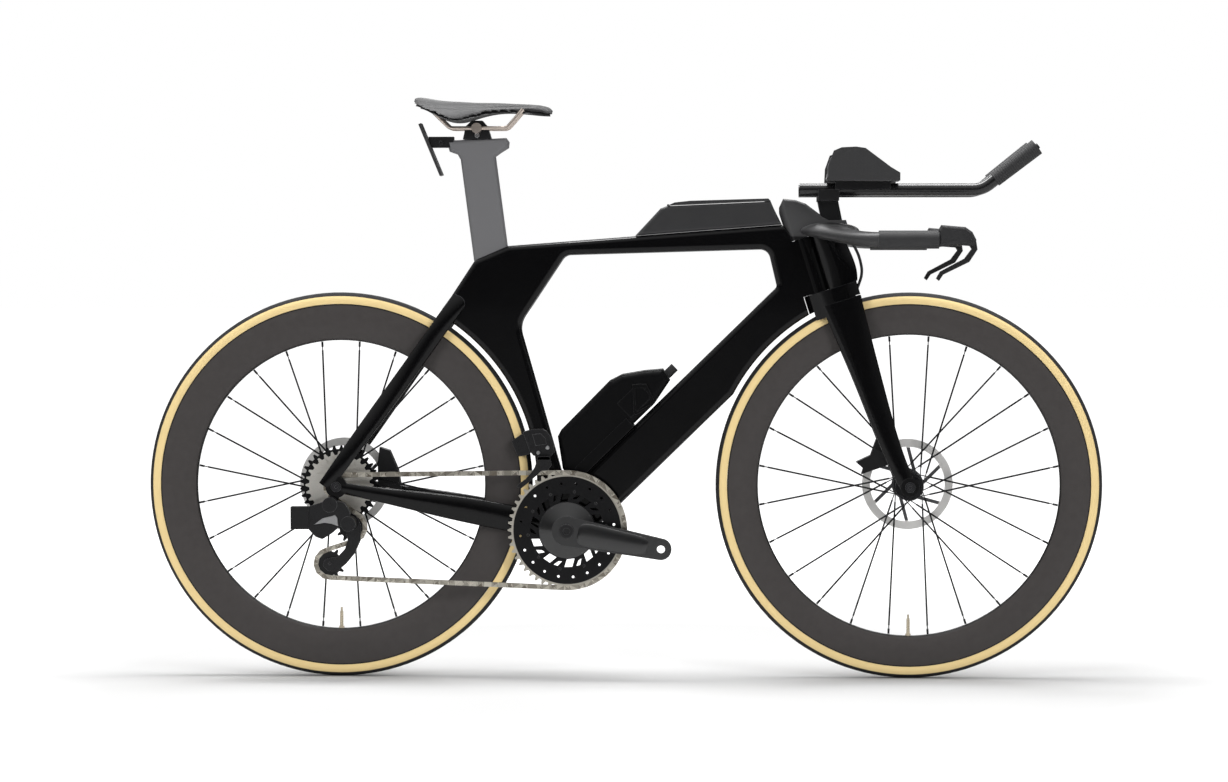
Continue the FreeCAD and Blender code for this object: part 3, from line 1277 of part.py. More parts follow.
# Armrests: bracket on each extension, thin cup with a high outer wing, formed foam pad inside it
OUTER_WING_SHARES = ((-0.5, 0.0), (-0.49, 0.46), (-0.42, 0.88), (-0.31, 0.98), (-0.11, 1.0), (0.02, 0.96),
                     (0.37, 0.40), (0.5, 0.23), (0.5, 0.0))
INNER_WING_SHARES = ((-0.5, 0.0), (-0.44, 0.40), (0.38, 0.32), (0.5, 0.0))
cups = []
pads = []
for side in (RIGHT, LEFT):
    under_rise = S.extension_rise + S.armrest_rise / 2
    under = COCKPIT + Vector(S.armrest_reach, side * S.extension_spread, under_rise)
    block = box("PadBracket", "pad_bracket_length", "pad_bracket_width", "armrest_rise", under)
    brackets.append(cut("PadBracketBody", block, fuse("PadBracketTools", extension_bores)))
    base = COCKPIT + Vector(S.armrest_reach, side * S.armrest_offset, S.extension_rise + S.armrest_rise)
    tray = box("CupTray", "armrest_length", "armrest_width", "cup_thickness",
               base + Z_AXIS * (S.cup_thickness / 2))
    cushion = box("PadFloor", "armrest_length - pad_edge_radius",
                  "armrest_width - 2 * cup_thickness - pad_thickness", "pad_thickness",
                  base + Z_AXIS * (S.cup_thickness + S.skin_gap + S.pad_thickness / 2))
    cup_pieces = [tray]
    pad_pieces = [cushion]
    for wing_side, shares in ((side, OUTER_WING_SHARES), (-side, INNER_WING_SHARES)):
        cup_wing = [(S.armrest_length * x, S.armrest_height * z, 0) for x, z in shares]
        edge_y = wing_side * (S.armrest_width - S.cup_thickness) / 2
        cup_pieces.append(side_pad("CupWing", cup_wing, "cup_thickness",
                                   Placement(base + Y_AXIS * edge_y, Rotation())))
        lining = S.armrest_height - S.cup_thickness
        pad_wing = [((S.armrest_length - S.pad_edge_radius) * x, lining * z, 0) for x, z in shares]
        lining_y = wing_side * ((S.armrest_width - S.pad_thickness) / 2 - S.cup_thickness - S.skin_gap)
        place = base + Vector(0, lining_y, S.cup_thickness + S.skin_gap)
        pad_pieces.append(side_pad("PadWing", pad_wing, "pad_thickness", Placement(place, Rotation()),
                                   "pad_edge_radius", S.pad_thickness / 2, lambda middle: middle.z > 0))
    cups.append(fuse("CupBody", cup_pieces))
    pads.append(fuse("PadBody", pad_pieces))
node(compound("riser", brackets), "riser")
node(compound("armrest_cups", cups), "armrest_cups")
node(compound("armrest_pads", pads), "armrest_pads")

# Front brake hose: leaves the stem, runs down before the nose and turns back into the crown
HOSE_ARC_SHARE = 0.45
HOSE_SHARES = ((1.04, 0.99), (1.06, 0.72), (1.14, 0.42), (1.10, 0.10), (0.86, -0.14))
hose_points = [steer(S.nose_front * u + S.hose_radius, 0, nose_low + (nose_high - nose_low) * w)
               for u, w in HOSE_SHARES]
hose_bends = []
for before, here, after in zip(hose_points, hose_points[1:], hose_points[2:]):
    half_turn = (here - before).getAngle(after - here) / 2
    shorter = min((here - before).Length, (after - here).Length)
    hose_bends.append(HOSE_ARC_SHARE * shorter / math.tan(half_turn))
hose = feature("HoseBody", tube("brake hose", hose_points, hose_bends, S.hose_radius))
node(cut_each("front_brake_hose", hose, [fork_body] + wings), "front_brake_hose")

# Calipers on the left: body with a rotor slot, cut to its neighbour, with two brake pads in it
FRONT_CALIPER_SHARES = ((-0.98, 0.35), (-1.14, 0.49), (-0.82, 0.64), (-0.70, 0.98), (-0.47, 1.19),
                        (-0.45, 0.42), (-1.02, 0.22))
REAR_CALIPER_SHARES = ((0.79, 0.79), (1.01, 0.72), (1.20, 0.28), (1.27, -0.14), (0.75, -0.08), (0.75, 0.46))
FRONT_PAD_ANGLE = 132.0
REAR_PAD_ANGLE = 22.0


def caliper(label, hub, offset, shares, neighbour, pad_angle):
    centre = hub + Y_AXIS * offset
    points = [(S.rotor_radius * x, S.rotor_radius * z, 0) for x, z in shares]
    body = side_pad(label + "Body", points, "caliper_width", Placement(centre, Rotation()))
    slot = cylinder(label + "Slot", "rotor_radius + 2 * part_gap", "caliper_slot",
                    centre - Y_AXIS * (S.caliper_slot / 2), Y_AXIS)
    pieces = [cut_each(label + "Housing", body, [slot, neighbour])]
    turn = Rotation(Y_AXIS, -pad_angle)
    reach = S.rotor_radius - S.rotor_band / 2
    for side in (RIGHT, LEFT):
        stand_off = S.rotor_thickness / 2 + S.skin_gap + S.brake_pad_thickness / 2
        place = centre + turn.multVec(X_AXIS) * reach + Y_AXIS * (side * stand_off)
        pieces.append(box(label + "Pad", "brake_pad_height", "brake_pad_thickness", "brake_pad_length", place,
                          turn))
    node(compound(label, pieces), label)


caliper("front_caliper", FRONT_HUB, S.front_rotor_offset, FRONT_CALIPER_SHARES, fork_body, FRONT_PAD_ANGLE)
caliper("rear_caliper", REAR_HUB, S.rear_rotor_offset, REAR_CALIPER_SHARES, stay_pieces[1][1], REAR_PAD_ANGLE)

# Toothed wheels: flat discs with straight-flanked teeth on the chain's pitch circle
TOOTH_TIP_SHARE = 0.22
TOOTH_ROOT_SHARE = 0.62


def pitch_radius(teeth):
    return S.chain_pitch / (2 * math.sin(math.pi / teeth))


def toothed_disc(teeth, thickness, bore, centre):
    """Disc across Y with one tooth per chain pitch and a round bore."""
    root = pitch_radius(teeth) - S.tooth_height / 2
    crest = root + S.tooth_height
    step = 2 * math.pi / teeth
    corners = []
    for index in range(teeth):
        middle = step * index
        for swing, radius in ((-TOOTH_ROOT_SHARE, root), (-TOOTH_TIP_SHARE, crest), (TOOTH_TIP_SHARE, crest),
                              (TOOTH_ROOT_SHARE, root)):
            angle = middle + swing * step / 2
            corners.append(Vector(math.cos(angle) * radius, 0, math.sin(angle) * radius))
    face = Part.Face(Part.makePolygon(corners + corners[:1]))
    solid = face.extrude(Y_AXIS * thickness)
    solid.translate(Y_AXIS * (-thickness / 2))
    hole = Part.makeCylinder(bore, 2 * thickness, Y_AXIS * -thickness, Y_AXIS)
    disc = solid.cut(hole)
    disc.translate(centre)
    return disc


# Cassette on its freehub: sprockets stepped towards the wheel, held by a lock ring
sprockets = []
for index, teeth in enumerate(SPROCKET_TEETH):
    centre = REAR_HUB - Y_AXIS * (S.sprocket_line - S.sprocket_step * index)
    sprockets.append(toothed_disc(teeth, S.sprocket_thickness, S.freehub_radius + S.skin_gap, centre))
sprocket_set = feature("Sprockets", Part.Compound(sprockets))
freehub_start = REAR_HUB - Y_AXIS * (S.sprocket_line + S.sprocket_thickness / 2 + S.lockring_length)
freehub_body = cylinder("FreehubBody", "freehub_radius",
                        "%d * sprocket_step + sprocket_thickness / 2 + lockring_length + sprocket_step / 2"
                        % (len(SPROCKET_TEETH) - 1), freehub_start, Y_AXIS)
freehub_bore = cylinder("FreehubBore", "axle_radius + running_clearance", "rear_spacing", freehub_start,
                        Y_AXIS)
node(compound("cassette", [sprocket_set, cut("Freehub", freehub_body, freehub_bore)]), "cassette")

# Crankset: arms on a spindle, a domed spider on the right that carries a slotted large ring and a small ring
arm_turn = math.radians(-S.crank_angle)
ARM_DIRECTION = Vector(math.cos(arm_turn), 0, math.sin(arm_turn))
large_line = BRACKET - Y_AXIS * S.ring_line
small_line = BRACKET - Y_AXIS * (S.ring_line - S.ring_step)


def crank_arm(name, side, direction):
    """Tapered arm with a round root and tip; the pedal thread goes through the tip."""
    inner = BRACKET + Y_AXIS * (side * S.arm_offset)
    outward = Y_AXIS * side
    root = cylinder(name + "Root", "arm_root_radius", "arm_thickness", inner, outward)
    tip_centre = inner + direction * S.crank_length
    tip = cylinder(name + "Tip", "arm_tip_radius", "arm_thickness", tip_centre, outward)
    points = [(0, -S.arm_root_radius, 0), (S.crank_length, -S.arm_tip_radius, 0),
              (S.crank_length, S.arm_tip_radius, 0), (0, S.arm_root_radius, 0)]
    turn = Rotation(direction, Y_AXIS, direction.cross(Y_AXIS), "XYZ")
    blade = side_pad(name + "Blade", points, "arm_thickness",
                     Placement(inner + outward * (S.arm_thickness / 2), turn))
    thread = cylinder(name + "Thread", "pedal_hole_radius", "arm_thickness", tip_centre, outward)
    return fuse(name + "Solid", [root, tip, blade]), thread


right_solid, right_thread = crank_arm("RightArm", RIGHT, ARM_DIRECTION)
left_solid, left_thread = crank_arm("LeftArm", LEFT, ARM_DIRECTION * -1)
spider_face = S.ring_line + S.ring_thickness / 2
dome_rim = cylinder("DomeRim", "dome_radius", "dome_rim", BRACKET - Y_AXIS * spider_face, Y_AXIS * -1)
dome = doc.addObject("Part::Cone", "SpiderDome")
bind(dome, Radius1="dome_radius", Radius2="arm_root_radius",
     Height="arm_offset - ring_line - ring_thickness / 2 - dome_rim")
dome.Placement = Placement(BRACKET - Y_AXIS * (spider_face + S.dome_rim), facing(Y_AXIS * -1))


def on_ring(radius, turn):
    """Point on the back plane of the large ring, turned from the crank arm."""
    angle = arm_turn + 2 * math.pi * turn
    return large_line + Vector(math.cos(angle), 0, math.sin(angle)) * radius + Y_AXIS * S.ring_thickness


bolts = []
for count, reach, rise, length in (
        (RING_BOLT_COUNT, S.large_bolt_circle, 0, "dome_rim + 2 * ring_thickness"),
        (RING_SLOT_COUNT, S.small_bolt_circle, S.ring_step, "ring_step + 2 * ring_thickness")):
    for index in range(count):
        start = on_ring(reach, (index + 0.5) / count) + Y_AXIS * rise
        bolts.append(cylinder("RingBolt", "bolt_radius", length, start, Y_AXIS * -1))
right_crank = fuse("RightCrank", [right_solid, dome_rim, dome])
node(cut_each("crank_arm_right", right_crank, [right_thread] + bolts), "crank_arm_right")
node(cut("crank_arm_left", left_solid, left_thread), "crank_arm_left")
SLOT_SHARES = (((0.505, -0.22), (0.505, 0.20), (0.64, 0.02), (0.64, -0.32)),
               ((0.56, 0.36), (0.545, 0.54), (0.64, 0.38), (0.64, 0.20)))
DOT_SHARES = ((0.815, 0.0), (0.815, 0.5))
large_pitch = pitch_radius(LARGE_RING_TEETH)
ring_tools = []
for index in range(RING_SLOT_COUNT):
    for shares in SLOT_SHARES:
        corners = [on_ring(large_pitch * reach, (index + turn) / RING_SLOT_COUNT) for reach, turn in shares]
        slot = Part.Face(Part.makePolygon(corners + corners[:1]))
        ring_tools.append(slot.extrude(Y_AXIS * (-2 * S.ring_thickness)))
    for reach, turn in DOT_SHARES:
        start = on_ring(large_pitch * reach, (index + turn) / RING_SLOT_COUNT)
        ring_tools.append(Part.makeCylinder(S.ring_dot_radius, 2 * S.ring_thickness, start, Y_AXIS * -1))
large_disc = toothed_disc(LARGE_RING_TEETH, S.ring_thickness, S.large_ring_bore, large_line).cut(ring_tools)
small_disc = toothed_disc(SMALL_RING_TEETH, S.ring_thickness, S.small_ring_bore, small_line)
rings = [cut_each(name, feature(name + "Disc", disc), bolts)
         for name, disc in (("LargeRing", large_disc), ("SmallRing", small_disc))]
node(compound("chainrings", rings), "chainrings")
spindle_start = BRACKET - Y_AXIS * (spider_face - S.skin_gap)
spindle = cylinder("Spindle", "spindle_radius", "arm_offset + ring_line + ring_thickness / 2 - 2 * skin_gap",
                   spindle_start, Y_AXIS)
node(compound("crank_spindle", bolts + [spindle]), "crank_spindle")

# Rear derailleur under the smallest sprocket: knuckles and link body, battery, curved cage with two pulleys
GUIDE = REAR_HUB + Vector(S.guide_forward, -S.sprocket_line, -S.guide_drop)
TENSION = REAR_HUB + Vector(-S.tension_back, -S.sprocket_line, -S.tension_drop)
HANGER_SHARES = ((0.6, 0.2), (0.7, -0.5), (-0.3, -1.35), (-1.35, -1.3), (-1.0, 0.2))
LINK_SHARES = ((-1.18, -0.85), (-0.62, -0.67), (-0.10, -0.56), (0.41, -0.67), (0.69, -1.13), (0.56, -1.59),
               (0.15, -1.79), (-0.15, -2.05), (-0.56, -2.31), (-0.87, -2.20), (-1.18, -1.87))
CAGE_SHARES = ((-0.273, -1.88), (-0.293, -0.21), (-0.155, 1.13), (0.156, 2.13), (0.491, 2.39), (0.802, 2.08),
               (1.055, 1.56), (1.165, 0.41), (1.13, -0.69), (0.98, -0.94), (0.871, -0.28), (0.766, 0.49),
               (0.515, 0.83), (0.295, 0.51), (0.166, -0.26), (0.105, -1.75), (-0.057, -2.34))
PIVOT_SHARES = (-0.15, 0.6)
hanger_point = REAR_HUB + Vector(-S.hanger_radius, -dropout_middle, -S.hanger_drop)
hanger_points = [(S.hanger_radius * x, S.hanger_drop * z, 0) for x, z in HANGER_SHARES]
hanger = side_pad("HangerBody", hanger_points, "dropout_thickness",
                  Placement(REAR_HUB - Y_AXIS * dropout_middle, Rotation()))
stay_sides.append(cut_each("Hanger", hanger, stay_pieces[0] + [rear_axle]))
node(compound("rear_triangle", stay_sides), "rear_triangle")
outer_face = S.rear_spacing / 2 + S.dropout_thickness + S.skin_gap
cage_face = S.sprocket_line + S.cage_gap / 2 + S.cage_thickness + S.skin_gap
upper_knuckle = Vector(hanger_point.x, -outer_face, hanger_point.z)
lower_knuckle = GUIDE + Vector(PIVOT_SHARES[0], 0, PIVOT_SHARES[1]) * S.knuckle_radius
link_points = [(S.battery_height * x, S.battery_height * z, S.link_corner) for x, z in LINK_SHARES]
link = side_pad("LinkBody", link_points, "link_thickness",
                Placement(REAR_HUB - Y_AXIS * (outer_face + S.knuckle_length / 2), Rotation()))
knuckle_top = cylinder("UpperKnuckle", "knuckle_radius", "knuckle_length", upper_knuckle, Y_AXIS * -1)
knuckle_low = cylinder("LowerKnuckle", "knuckle_radius",
                       "knuckle_length + rear_spacing / 2 + dropout_thickness"
                       " - sprocket_line - cage_gap / 2 - cage_thickness",
                       Vector(lower_knuckle.x, -cage_face, lower_knuckle.z), Y_AXIS * -1)
battery_end = LINK_SHARES[0]
battery_middle = (battery_end[1] + LINK_SHARES[-1][1]) / 2
battery_place = REAR_HUB + Vector(
    S.battery_height * battery_end[0] - S.battery_length / 2 - S.skin_gap,
    -outer_face - S.knuckle_length / 2, S.battery_height * battery_middle)
node(box("derailleur_battery", "battery_length", "battery_width", "battery_height", battery_place),
     "derailleur_battery")
node(fuse("derailleur_body", [knuckle_top, knuckle_low, link]), "derailleur_body")
cage_run = TENSION - GUIDE
cage_turn = Rotation(cage_run, Y_AXIS, cage_run.cross(Y_AXIS), "XYZ")
cage_points = [(cage_run.Length * x, S.cage_plate_radius * z, S.link_corner) for x, z in CAGE_SHARES]
cage_pieces = []
for side in (RIGHT, LEFT):
    face = Y_AXIS * (side * (S.cage_gap + S.cage_thickness) / 2)
    cage_pieces.append(side_pad("CagePlate", cage_points, "cage_thickness",
                                Placement(GUIDE + face, cage_turn)))
for centre in (GUIDE, TENSION):
    cage_pieces.append(cylinder("PulleyPin", "pulley_bore_radius - running_clearance",
                                "cage_gap + cage_thickness",
                                centre - Y_AXIS * ((S.cage_gap + S.cage_thickness) / 2), Y_AXIS))
node(fuse("derailleur_cage", cage_pieces), "derailleur_cage")
for label, centre in (("guide_pulley", GUIDE), ("tension_pulley", TENSION)):
    node(feature(label, toothed_disc(PULLEY_TEETH, S.pulley_thickness, S.pulley_bore_radius, centre)), label)

# Front derailleur: body and battery on the seat tube, guide plates about the chain's upper run
changer_centre = BRACKET + Vector(-S.changer_back, 0, S.changer_rise)
changer_y = (S.frame_width + S.changer_width) / 2 + S.skin_gap
battery_x = (S.changer_length + S.changer_battery_length) / 2 + S.skin_gap
changer_body = box("ChangerBody", "changer_length", "changer_width", "changer_height",
                   changer_centre - Y_AXIS * changer_y)
changer_battery = box("ChangerBattery", "changer_battery_length", "changer_width", "changer_height",
                      changer_centre - Vector(battery_x, changer_y, 0))
node(compound("front_changer", [changer_body, changer_battery]), "front_changer")
chain_y = S.ring_line + (S.sprocket_line - S.ring_line) * S.guide_plate_back / S.chainstay_reach
guide_centre = BRACKET + Vector(-S.guide_plate_back, -chain_y, S.guide_plate_rise)
plate_top = S.guide_plate_height / 2
cage_parts = []
for side in (RIGHT, LEFT):
    shift = Y_AXIS * (side * (S.guide_plate_gap + S.guide_plate_thickness) / 2)
    cage_parts.append(box("GuidePlate", "guide_plate_length", "guide_plate_thickness", "guide_plate_height",
                          guide_centre + shift))
cage_parts.append(box("GuideBridge", "guide_plate_length / 3", "guide_plate_gap + 2 * guide_plate_thickness",
                      "guide_plate_thickness",
                      guide_centre + Z_AXIS * (plate_top - S.guide_plate_thickness / 2)))
arm_low = guide_centre.z + plate_top - S.guide_plate_thickness
arm_high = changer_centre.z - S.changer_height / 2 - S.skin_gap
guide_arm = box("GuideArm", "guide_plate_length / 3", "changer_width",
                "changer_rise - guide_plate_rise - changer_height / 2 - guide_plate_height / 2"
                " + guide_plate_thickness - skin_gap",
                Vector(guide_centre.x, -changer_y - S.changer_width / 2, (arm_low + arm_high) / 2))
cage_parts.append(guide_arm)
node(fuse("front_changer_cage", cage_parts), "front_changer_cage")

# Chain: paired side plates on a loop round ring, pulleys and sprocket; rollers on the two long runs
CLOCKWISE = -1
COUNTER = 1
ROLLER_START_SHARE = 3.5
loop = (
    (REAR_HUB - Y_AXIS * S.sprocket_line, pitch_radius(SPROCKET_TEETH[0]), CLOCKWISE),
    (large_line, pitch_radius(LARGE_RING_TEETH), CLOCKWISE),
    (TENSION, pitch_radius(PULLEY_TEETH), CLOCKWISE),
    (GUIDE, pitch_radius(PULLEY_TEETH), COUNTER),
)


def leaving_direction(start, stop):
    """Direction of the straight run from one directed circle to the next."""
    gap = stop[0] - start[0]
    distance = math.hypot(gap.x, gap.z)
    swing = math.asin((start[2] * start[1] - stop[2] * stop[1]) / distance)
    return math.atan2(gap.z, gap.x) + swing


def rim_point(wheel, direction):
    """Point where a run with this direction touches a directed circle."""
    centre, radius, sense = wheel
    return centre + Vector(math.sin(direction), 0, -math.cos(direction)) * (sense * radius)


def run_point(start, stop, share):
    """Point on a straight run; the sideways shift to the next wheel's plane eases in and out."""
    point = start + (stop - start) * share
    ease = share ** 3 * (10 - 15 * share + 6 * share ** 2)
    return Vector(point.x, start.y + (stop.y - start.y) * ease, point.z)


def chain_path():
    """Stretches of the loop in order: (length, point at a share of it, whether it is straight)."""
    stretches = []
    for index, wheel in enumerate(loop):
        following = loop[(index + 1) % len(loop)]
        arrive = leaving_direction(loop[index - 1], wheel)
        leave = leaving_direction(wheel, following)
        turn = (leave - arrive) * wheel[2] % (2 * math.pi) * wheel[2]
        stretches.append((abs(turn) * wheel[1],
                          lambda share, w=wheel, a=arrive, t=turn: rim_point(w, a + t * share), False))
        start = rim_point(wheel, leave)
        stop = rim_point(following, leave)
        stretches.append(((stop - start).Length, lambda share, a=start, b=stop: run_point(a, b, share), True))
    return stretches


def link_plates(gap):
    """Pair of rounded side plates, one link long, either side of y = 0."""
    half = S.plate_height / 2
    length = S.chain_pitch
    wire = Part.Wire([
        Part.LineSegment(Vector(0, 0, -half), Vector(length, 0, -half)).toShape(),
        Part.Arc(Vector(length, 0, -half), Vector(length + half, 0, 0), Vector(length, 0, half)).toShape(),
        Part.LineSegment(Vector(length, 0, half), Vector(0, 0, half)).toShape(),
        Part.Arc(Vector(0, 0, half), Vector(-half, 0, 0), Vector(0, 0, -half)).toShape(),
    ])
    pair = []
    for side in (RIGHT, LEFT):
        plate = Part.Face(wire).extrude(Y_AXIS * (side * S.link_plate_thickness))
        plate.translate(Y_AXIS * (side * gap))
        pair.append(plate)
    return Part.Compound(pair)


stretches = chain_path()
loop_length = sum(stretch[0] for stretch in stretches)
link_count = 2 * round(loop_length / S.chain_pitch / 2)
pins = []
for index in range(link_count):
    left = loop_length * index / link_count
    for length, place, straight in stretches:
        if left < length:
            clear = straight and min(left, length - left) > ROLLER_START_SHARE * S.chain_pitch
            pins.append((place(left / length), clear))
            break
        left -= length
inner_pair = link_plates(S.link_inner_gap)
outer_pair = link_plates(S.link_inner_gap + S.link_plate_thickness + S.skin_gap)
links = []
for index, (pin, clear) in enumerate(pins):
    run = pins[(index + 1) % link_count][0] - pin
    turn = Rotation(run, Y_AXIS, run.cross(Y_AXIS), "XYZ")
    plates = (outer_pair if index % 2 else inner_pair).copy()
    plates.Placement = Placement(pin, turn)
    links.append(plates)
    if clear:
        across = turn.multVec(Y_AXIS) * (S.link_inner_gap - S.running_clearance)
        links.append(Part.makeCylinder(S.roller_radius, 2 * across.Length, pin - across, across))
print("chain loop length %.1f in %d links" % (loop_length, link_count))
node(feature("chain", Part.Compound(links)), "chain")


# Check every object and sub-part, then write one file per sub-part
doc.recompute()
for item in doc.Objects:
    if "Invalid" in item.State or "Error" in item.State:
        raise RuntimeError("%s did not build: %s" % (item.Label, item.State))
os.makedirs("parts", exist_ok=True)
for item in nodes:
    if item.Shape.isNull() or not item.Shape.isValid():
        raise RuntimeError(item.Label + " has no valid shape")
    item.Shape.exportStep("parts/%s.step" % item.Label)
    print("%-28s %2d solids %12.0f mm3" % (item.Label, len(item.Shape.Solids), item.Shape.Volume))
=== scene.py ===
import math

import bmesh
import bpy
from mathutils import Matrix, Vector


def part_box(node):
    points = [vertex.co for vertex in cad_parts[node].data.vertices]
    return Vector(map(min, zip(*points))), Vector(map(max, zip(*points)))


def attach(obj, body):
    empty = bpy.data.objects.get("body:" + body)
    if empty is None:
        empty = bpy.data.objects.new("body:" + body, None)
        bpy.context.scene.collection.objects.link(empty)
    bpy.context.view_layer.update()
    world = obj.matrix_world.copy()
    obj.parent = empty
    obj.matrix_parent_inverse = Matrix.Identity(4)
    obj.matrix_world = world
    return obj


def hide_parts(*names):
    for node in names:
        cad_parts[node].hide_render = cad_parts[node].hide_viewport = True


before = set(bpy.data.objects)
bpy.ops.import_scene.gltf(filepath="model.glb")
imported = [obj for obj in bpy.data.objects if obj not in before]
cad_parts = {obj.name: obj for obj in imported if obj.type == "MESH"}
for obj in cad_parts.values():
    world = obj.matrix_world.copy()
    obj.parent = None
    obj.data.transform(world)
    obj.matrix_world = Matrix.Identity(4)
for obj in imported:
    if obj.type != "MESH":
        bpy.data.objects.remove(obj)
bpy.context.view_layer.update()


# Camera: a long lens six metres off the drive side, just above the axles, level and almost square
# to the bike. Its focal length is stated for a frame 1228 pixels wide and 782 high.
PHOTO_WIDTH = 1228
LENS_PIXELS = 3455.3
lens = bpy.data.cameras.new("side_lens")
lens.sensor_width = 36.0
lens.lens = LENS_PIXELS * lens.sensor_width / PHOTO_WIDTH
lens.clip_end = 200.0
camera = bpy.data.objects.new("side_lens", lens)
camera.location = (0.2011, -6.0779, 0.7142)
camera.rotation_euler = (math.radians(90) - 0.0345, 0, 0.0360)
bpy.context.scene.collection.objects.link(camera)
bpy.context.scene.camera = camera


# Studio: a pale seamless floor that fades to white, with painted shade under the tyres: an occlusion mask
# darkens its colour and its glow where little light gets in.
# Four soft boxes under a white surround; gloss sees it bright overhead and dark at the sides, and only
# the boxes above and behind the bike.
def soft_box(name, place, aim, width, height, power, in_gloss):
    light = bpy.data.lights.new(name, "AREA")
    light.shape = "RECTANGLE"
    light.size = width
    light.size_y = height
    light.energy = power
    lamp = bpy.data.objects.new(name, light)
    lamp.location = place
    lamp.rotation_euler = (Vector(aim) - Vector(place)).to_track_quat("-Z", "Y").to_euler()
    lamp.visible_glossy = in_gloss
    bpy.context.scene.collection.objects.link(lamp)


soft_box("overhead_box", (0.0, 0.15, 3.2), (0.0, 0.1, 0.0), 2.6, 0.8, 112, True)
soft_box("front_box", (2.6, -3.6, 1.9), (0.2, 0.0, 0.5), 1.4, 1.8, 92, False)
soft_box("rear_box", (-2.8, -3.2, 1.6), (-0.2, 0.0, 0.5), 1.2, 1.8, 74, False)
soft_box("back_box", (0.3, 3.4, 2.6), (0.0, 0.0, 0.5), 3.0, 1.2, 50, True)


def add(tree, kind, **settings):
    made = tree.nodes.new(kind)
    for key, value in settings.items():
        setattr(made, key, value)
    return made


def sums(tree, operation, first, second=0.0, third=0.0):
    made = add(tree, "ShaderNodeMath", operation=operation)
    for socket, value in zip(made.inputs, (first, second, third)):
        if hasattr(value, "is_linked"):
            tree.links.new(value, socket)
        else:
            socket.default_value = value
    return made.outputs[0]


def ranged(tree, value, from_low, from_high, to_low, to_high):
    """Carry a value over from one range to another, held at both ends."""
    made = add(tree, "ShaderNodeMapRange")
    for socket, number in zip(made.inputs[1:5], (from_low, from_high, to_low, to_high)):
        socket.default_value = number
    tree.links.new(value, made.inputs["Value"])
    return made.outputs[0]


surround = bpy.data.worlds.new("white_surround")
surround.use_nodes = True
bpy.context.scene.world = surround
sky = surround.node_tree
sky.nodes.clear()
seen = sky.nodes.new("ShaderNodeLightPath")
toward = sky.nodes.new("ShaderNodeTexCoord")
split_way = sky.nodes.new("ShaderNodeSeparateXYZ")
gloss_light = sky.nodes.new("ShaderNodeBackground")
even_light = sky.nodes.new("ShaderNodeBackground")
even_light.inputs["Strength"].default_value = 0.4
backdrop = sky.nodes.new("ShaderNodeBackground")
backdrop.inputs["Color"].default_value = (1, 1, 1, 1)
with_gloss = sky.nodes.new("ShaderNodeMixShader")
with_backdrop = sky.nodes.new("ShaderNodeMixShader")
world_out = sky.nodes.new("ShaderNodeOutputWorld")
sky.links.new(toward.outputs["Generated"], split_way.inputs[0])
overhead = ranged(sky, split_way.outputs["Z"], 0.18, 0.75, 0.03, 1.0)
sky.links.new(overhead, gloss_light.inputs["Strength"])
sky.links.new(seen.outputs["Is Glossy Ray"], with_gloss.inputs["Fac"])
sky.links.new(even_light.outputs[0], with_gloss.inputs[1])
sky.links.new(gloss_light.outputs[0], with_gloss.inputs[2])
sky.links.new(seen.outputs["Is Camera Ray"], with_backdrop.inputs["Fac"])
sky.links.new(with_gloss.outputs[0], with_backdrop.inputs[1])
sky.links.new(backdrop.outputs[0], with_backdrop.inputs[2])
sky.links.new(with_backdrop.outputs[0], world_out.inputs["Surface"])

FLOOR_REACH = 60.0
floor_mesh = bpy.data.meshes.new("studio_floor")
floor_mesh.from_pydata([(-FLOOR_REACH, -FLOOR_REACH, 0), (FLOOR_REACH, -FLOOR_REACH, 0),
                        (FLOOR_REACH, FLOOR_REACH, 0), (-FLOOR_REACH, FLOOR_REACH, 0)], [], [(0, 1, 2, 3)])
floor = bpy.data.objects.new("studio_floor", floor_mesh)
bpy.context.scene.collection.objects.link(floor)
floor_paint = bpy.data.materials.new("floor_white")
floor_paint.use_nodes = True
paint = floor_paint.node_tree
paint.nodes.clear()
floor_seen = paint.nodes.new("ShaderNodeLightPath")
floor_place = paint.nodes.new("ShaderNodeTexCoord")
floor_far = add(paint, "ShaderNodeVectorMath", operation="LENGTH")
floor_shade = paint.nodes.new("ShaderNodeAmbientOcclusion")
floor_shade.inputs["Distance"].default_value = 0.3
floor_diffuse = paint.nodes.new("ShaderNodeBsdfDiffuse")
floor_glow = paint.nodes.new("ShaderNodeEmission")
floor_glow.inputs["Color"].default_value = (1, 1, 1, 1)
floor_sum = paint.nodes.new("ShaderNodeAddShader")
floor_out = paint.nodes.new("ShaderNodeOutputMaterial")
paint.links.new(floor_place.outputs["Object"], floor_far.inputs[0])
floor_fade = ranged(paint, floor_far.outputs["Value"], 0.9, 2.6, 0.16, 1.0)
# painted shade: the occlusion mask darkens the floor's glow and its colour under the bike
floor_glow_painted_shade = sums(paint, "MULTIPLY", floor_fade, floor_shade.outputs["AO"])
floor_colour_painted_shade = ranged(paint, floor_shade.outputs["AO"], 0.0, 1.0, 0.06, 0.54)
paint.links.new(sums(paint, "MULTIPLY", floor_glow_painted_shade, floor_seen.outputs["Is Camera Ray"]),
                floor_glow.inputs["Strength"])
paint.links.new(floor_colour_painted_shade, floor_diffuse.inputs["Color"])
paint.links.new(floor_diffuse.outputs[0], floor_sum.inputs[0])
paint.links.new(floor_glow.outputs[0], floor_sum.inputs[1])
paint.links.new(floor_sum.outputs[0], floor_out.inputs["Surface"])
floor_mesh.materials.append(floor_paint)
bpy.context.scene.view_settings.view_transform = "Standard"


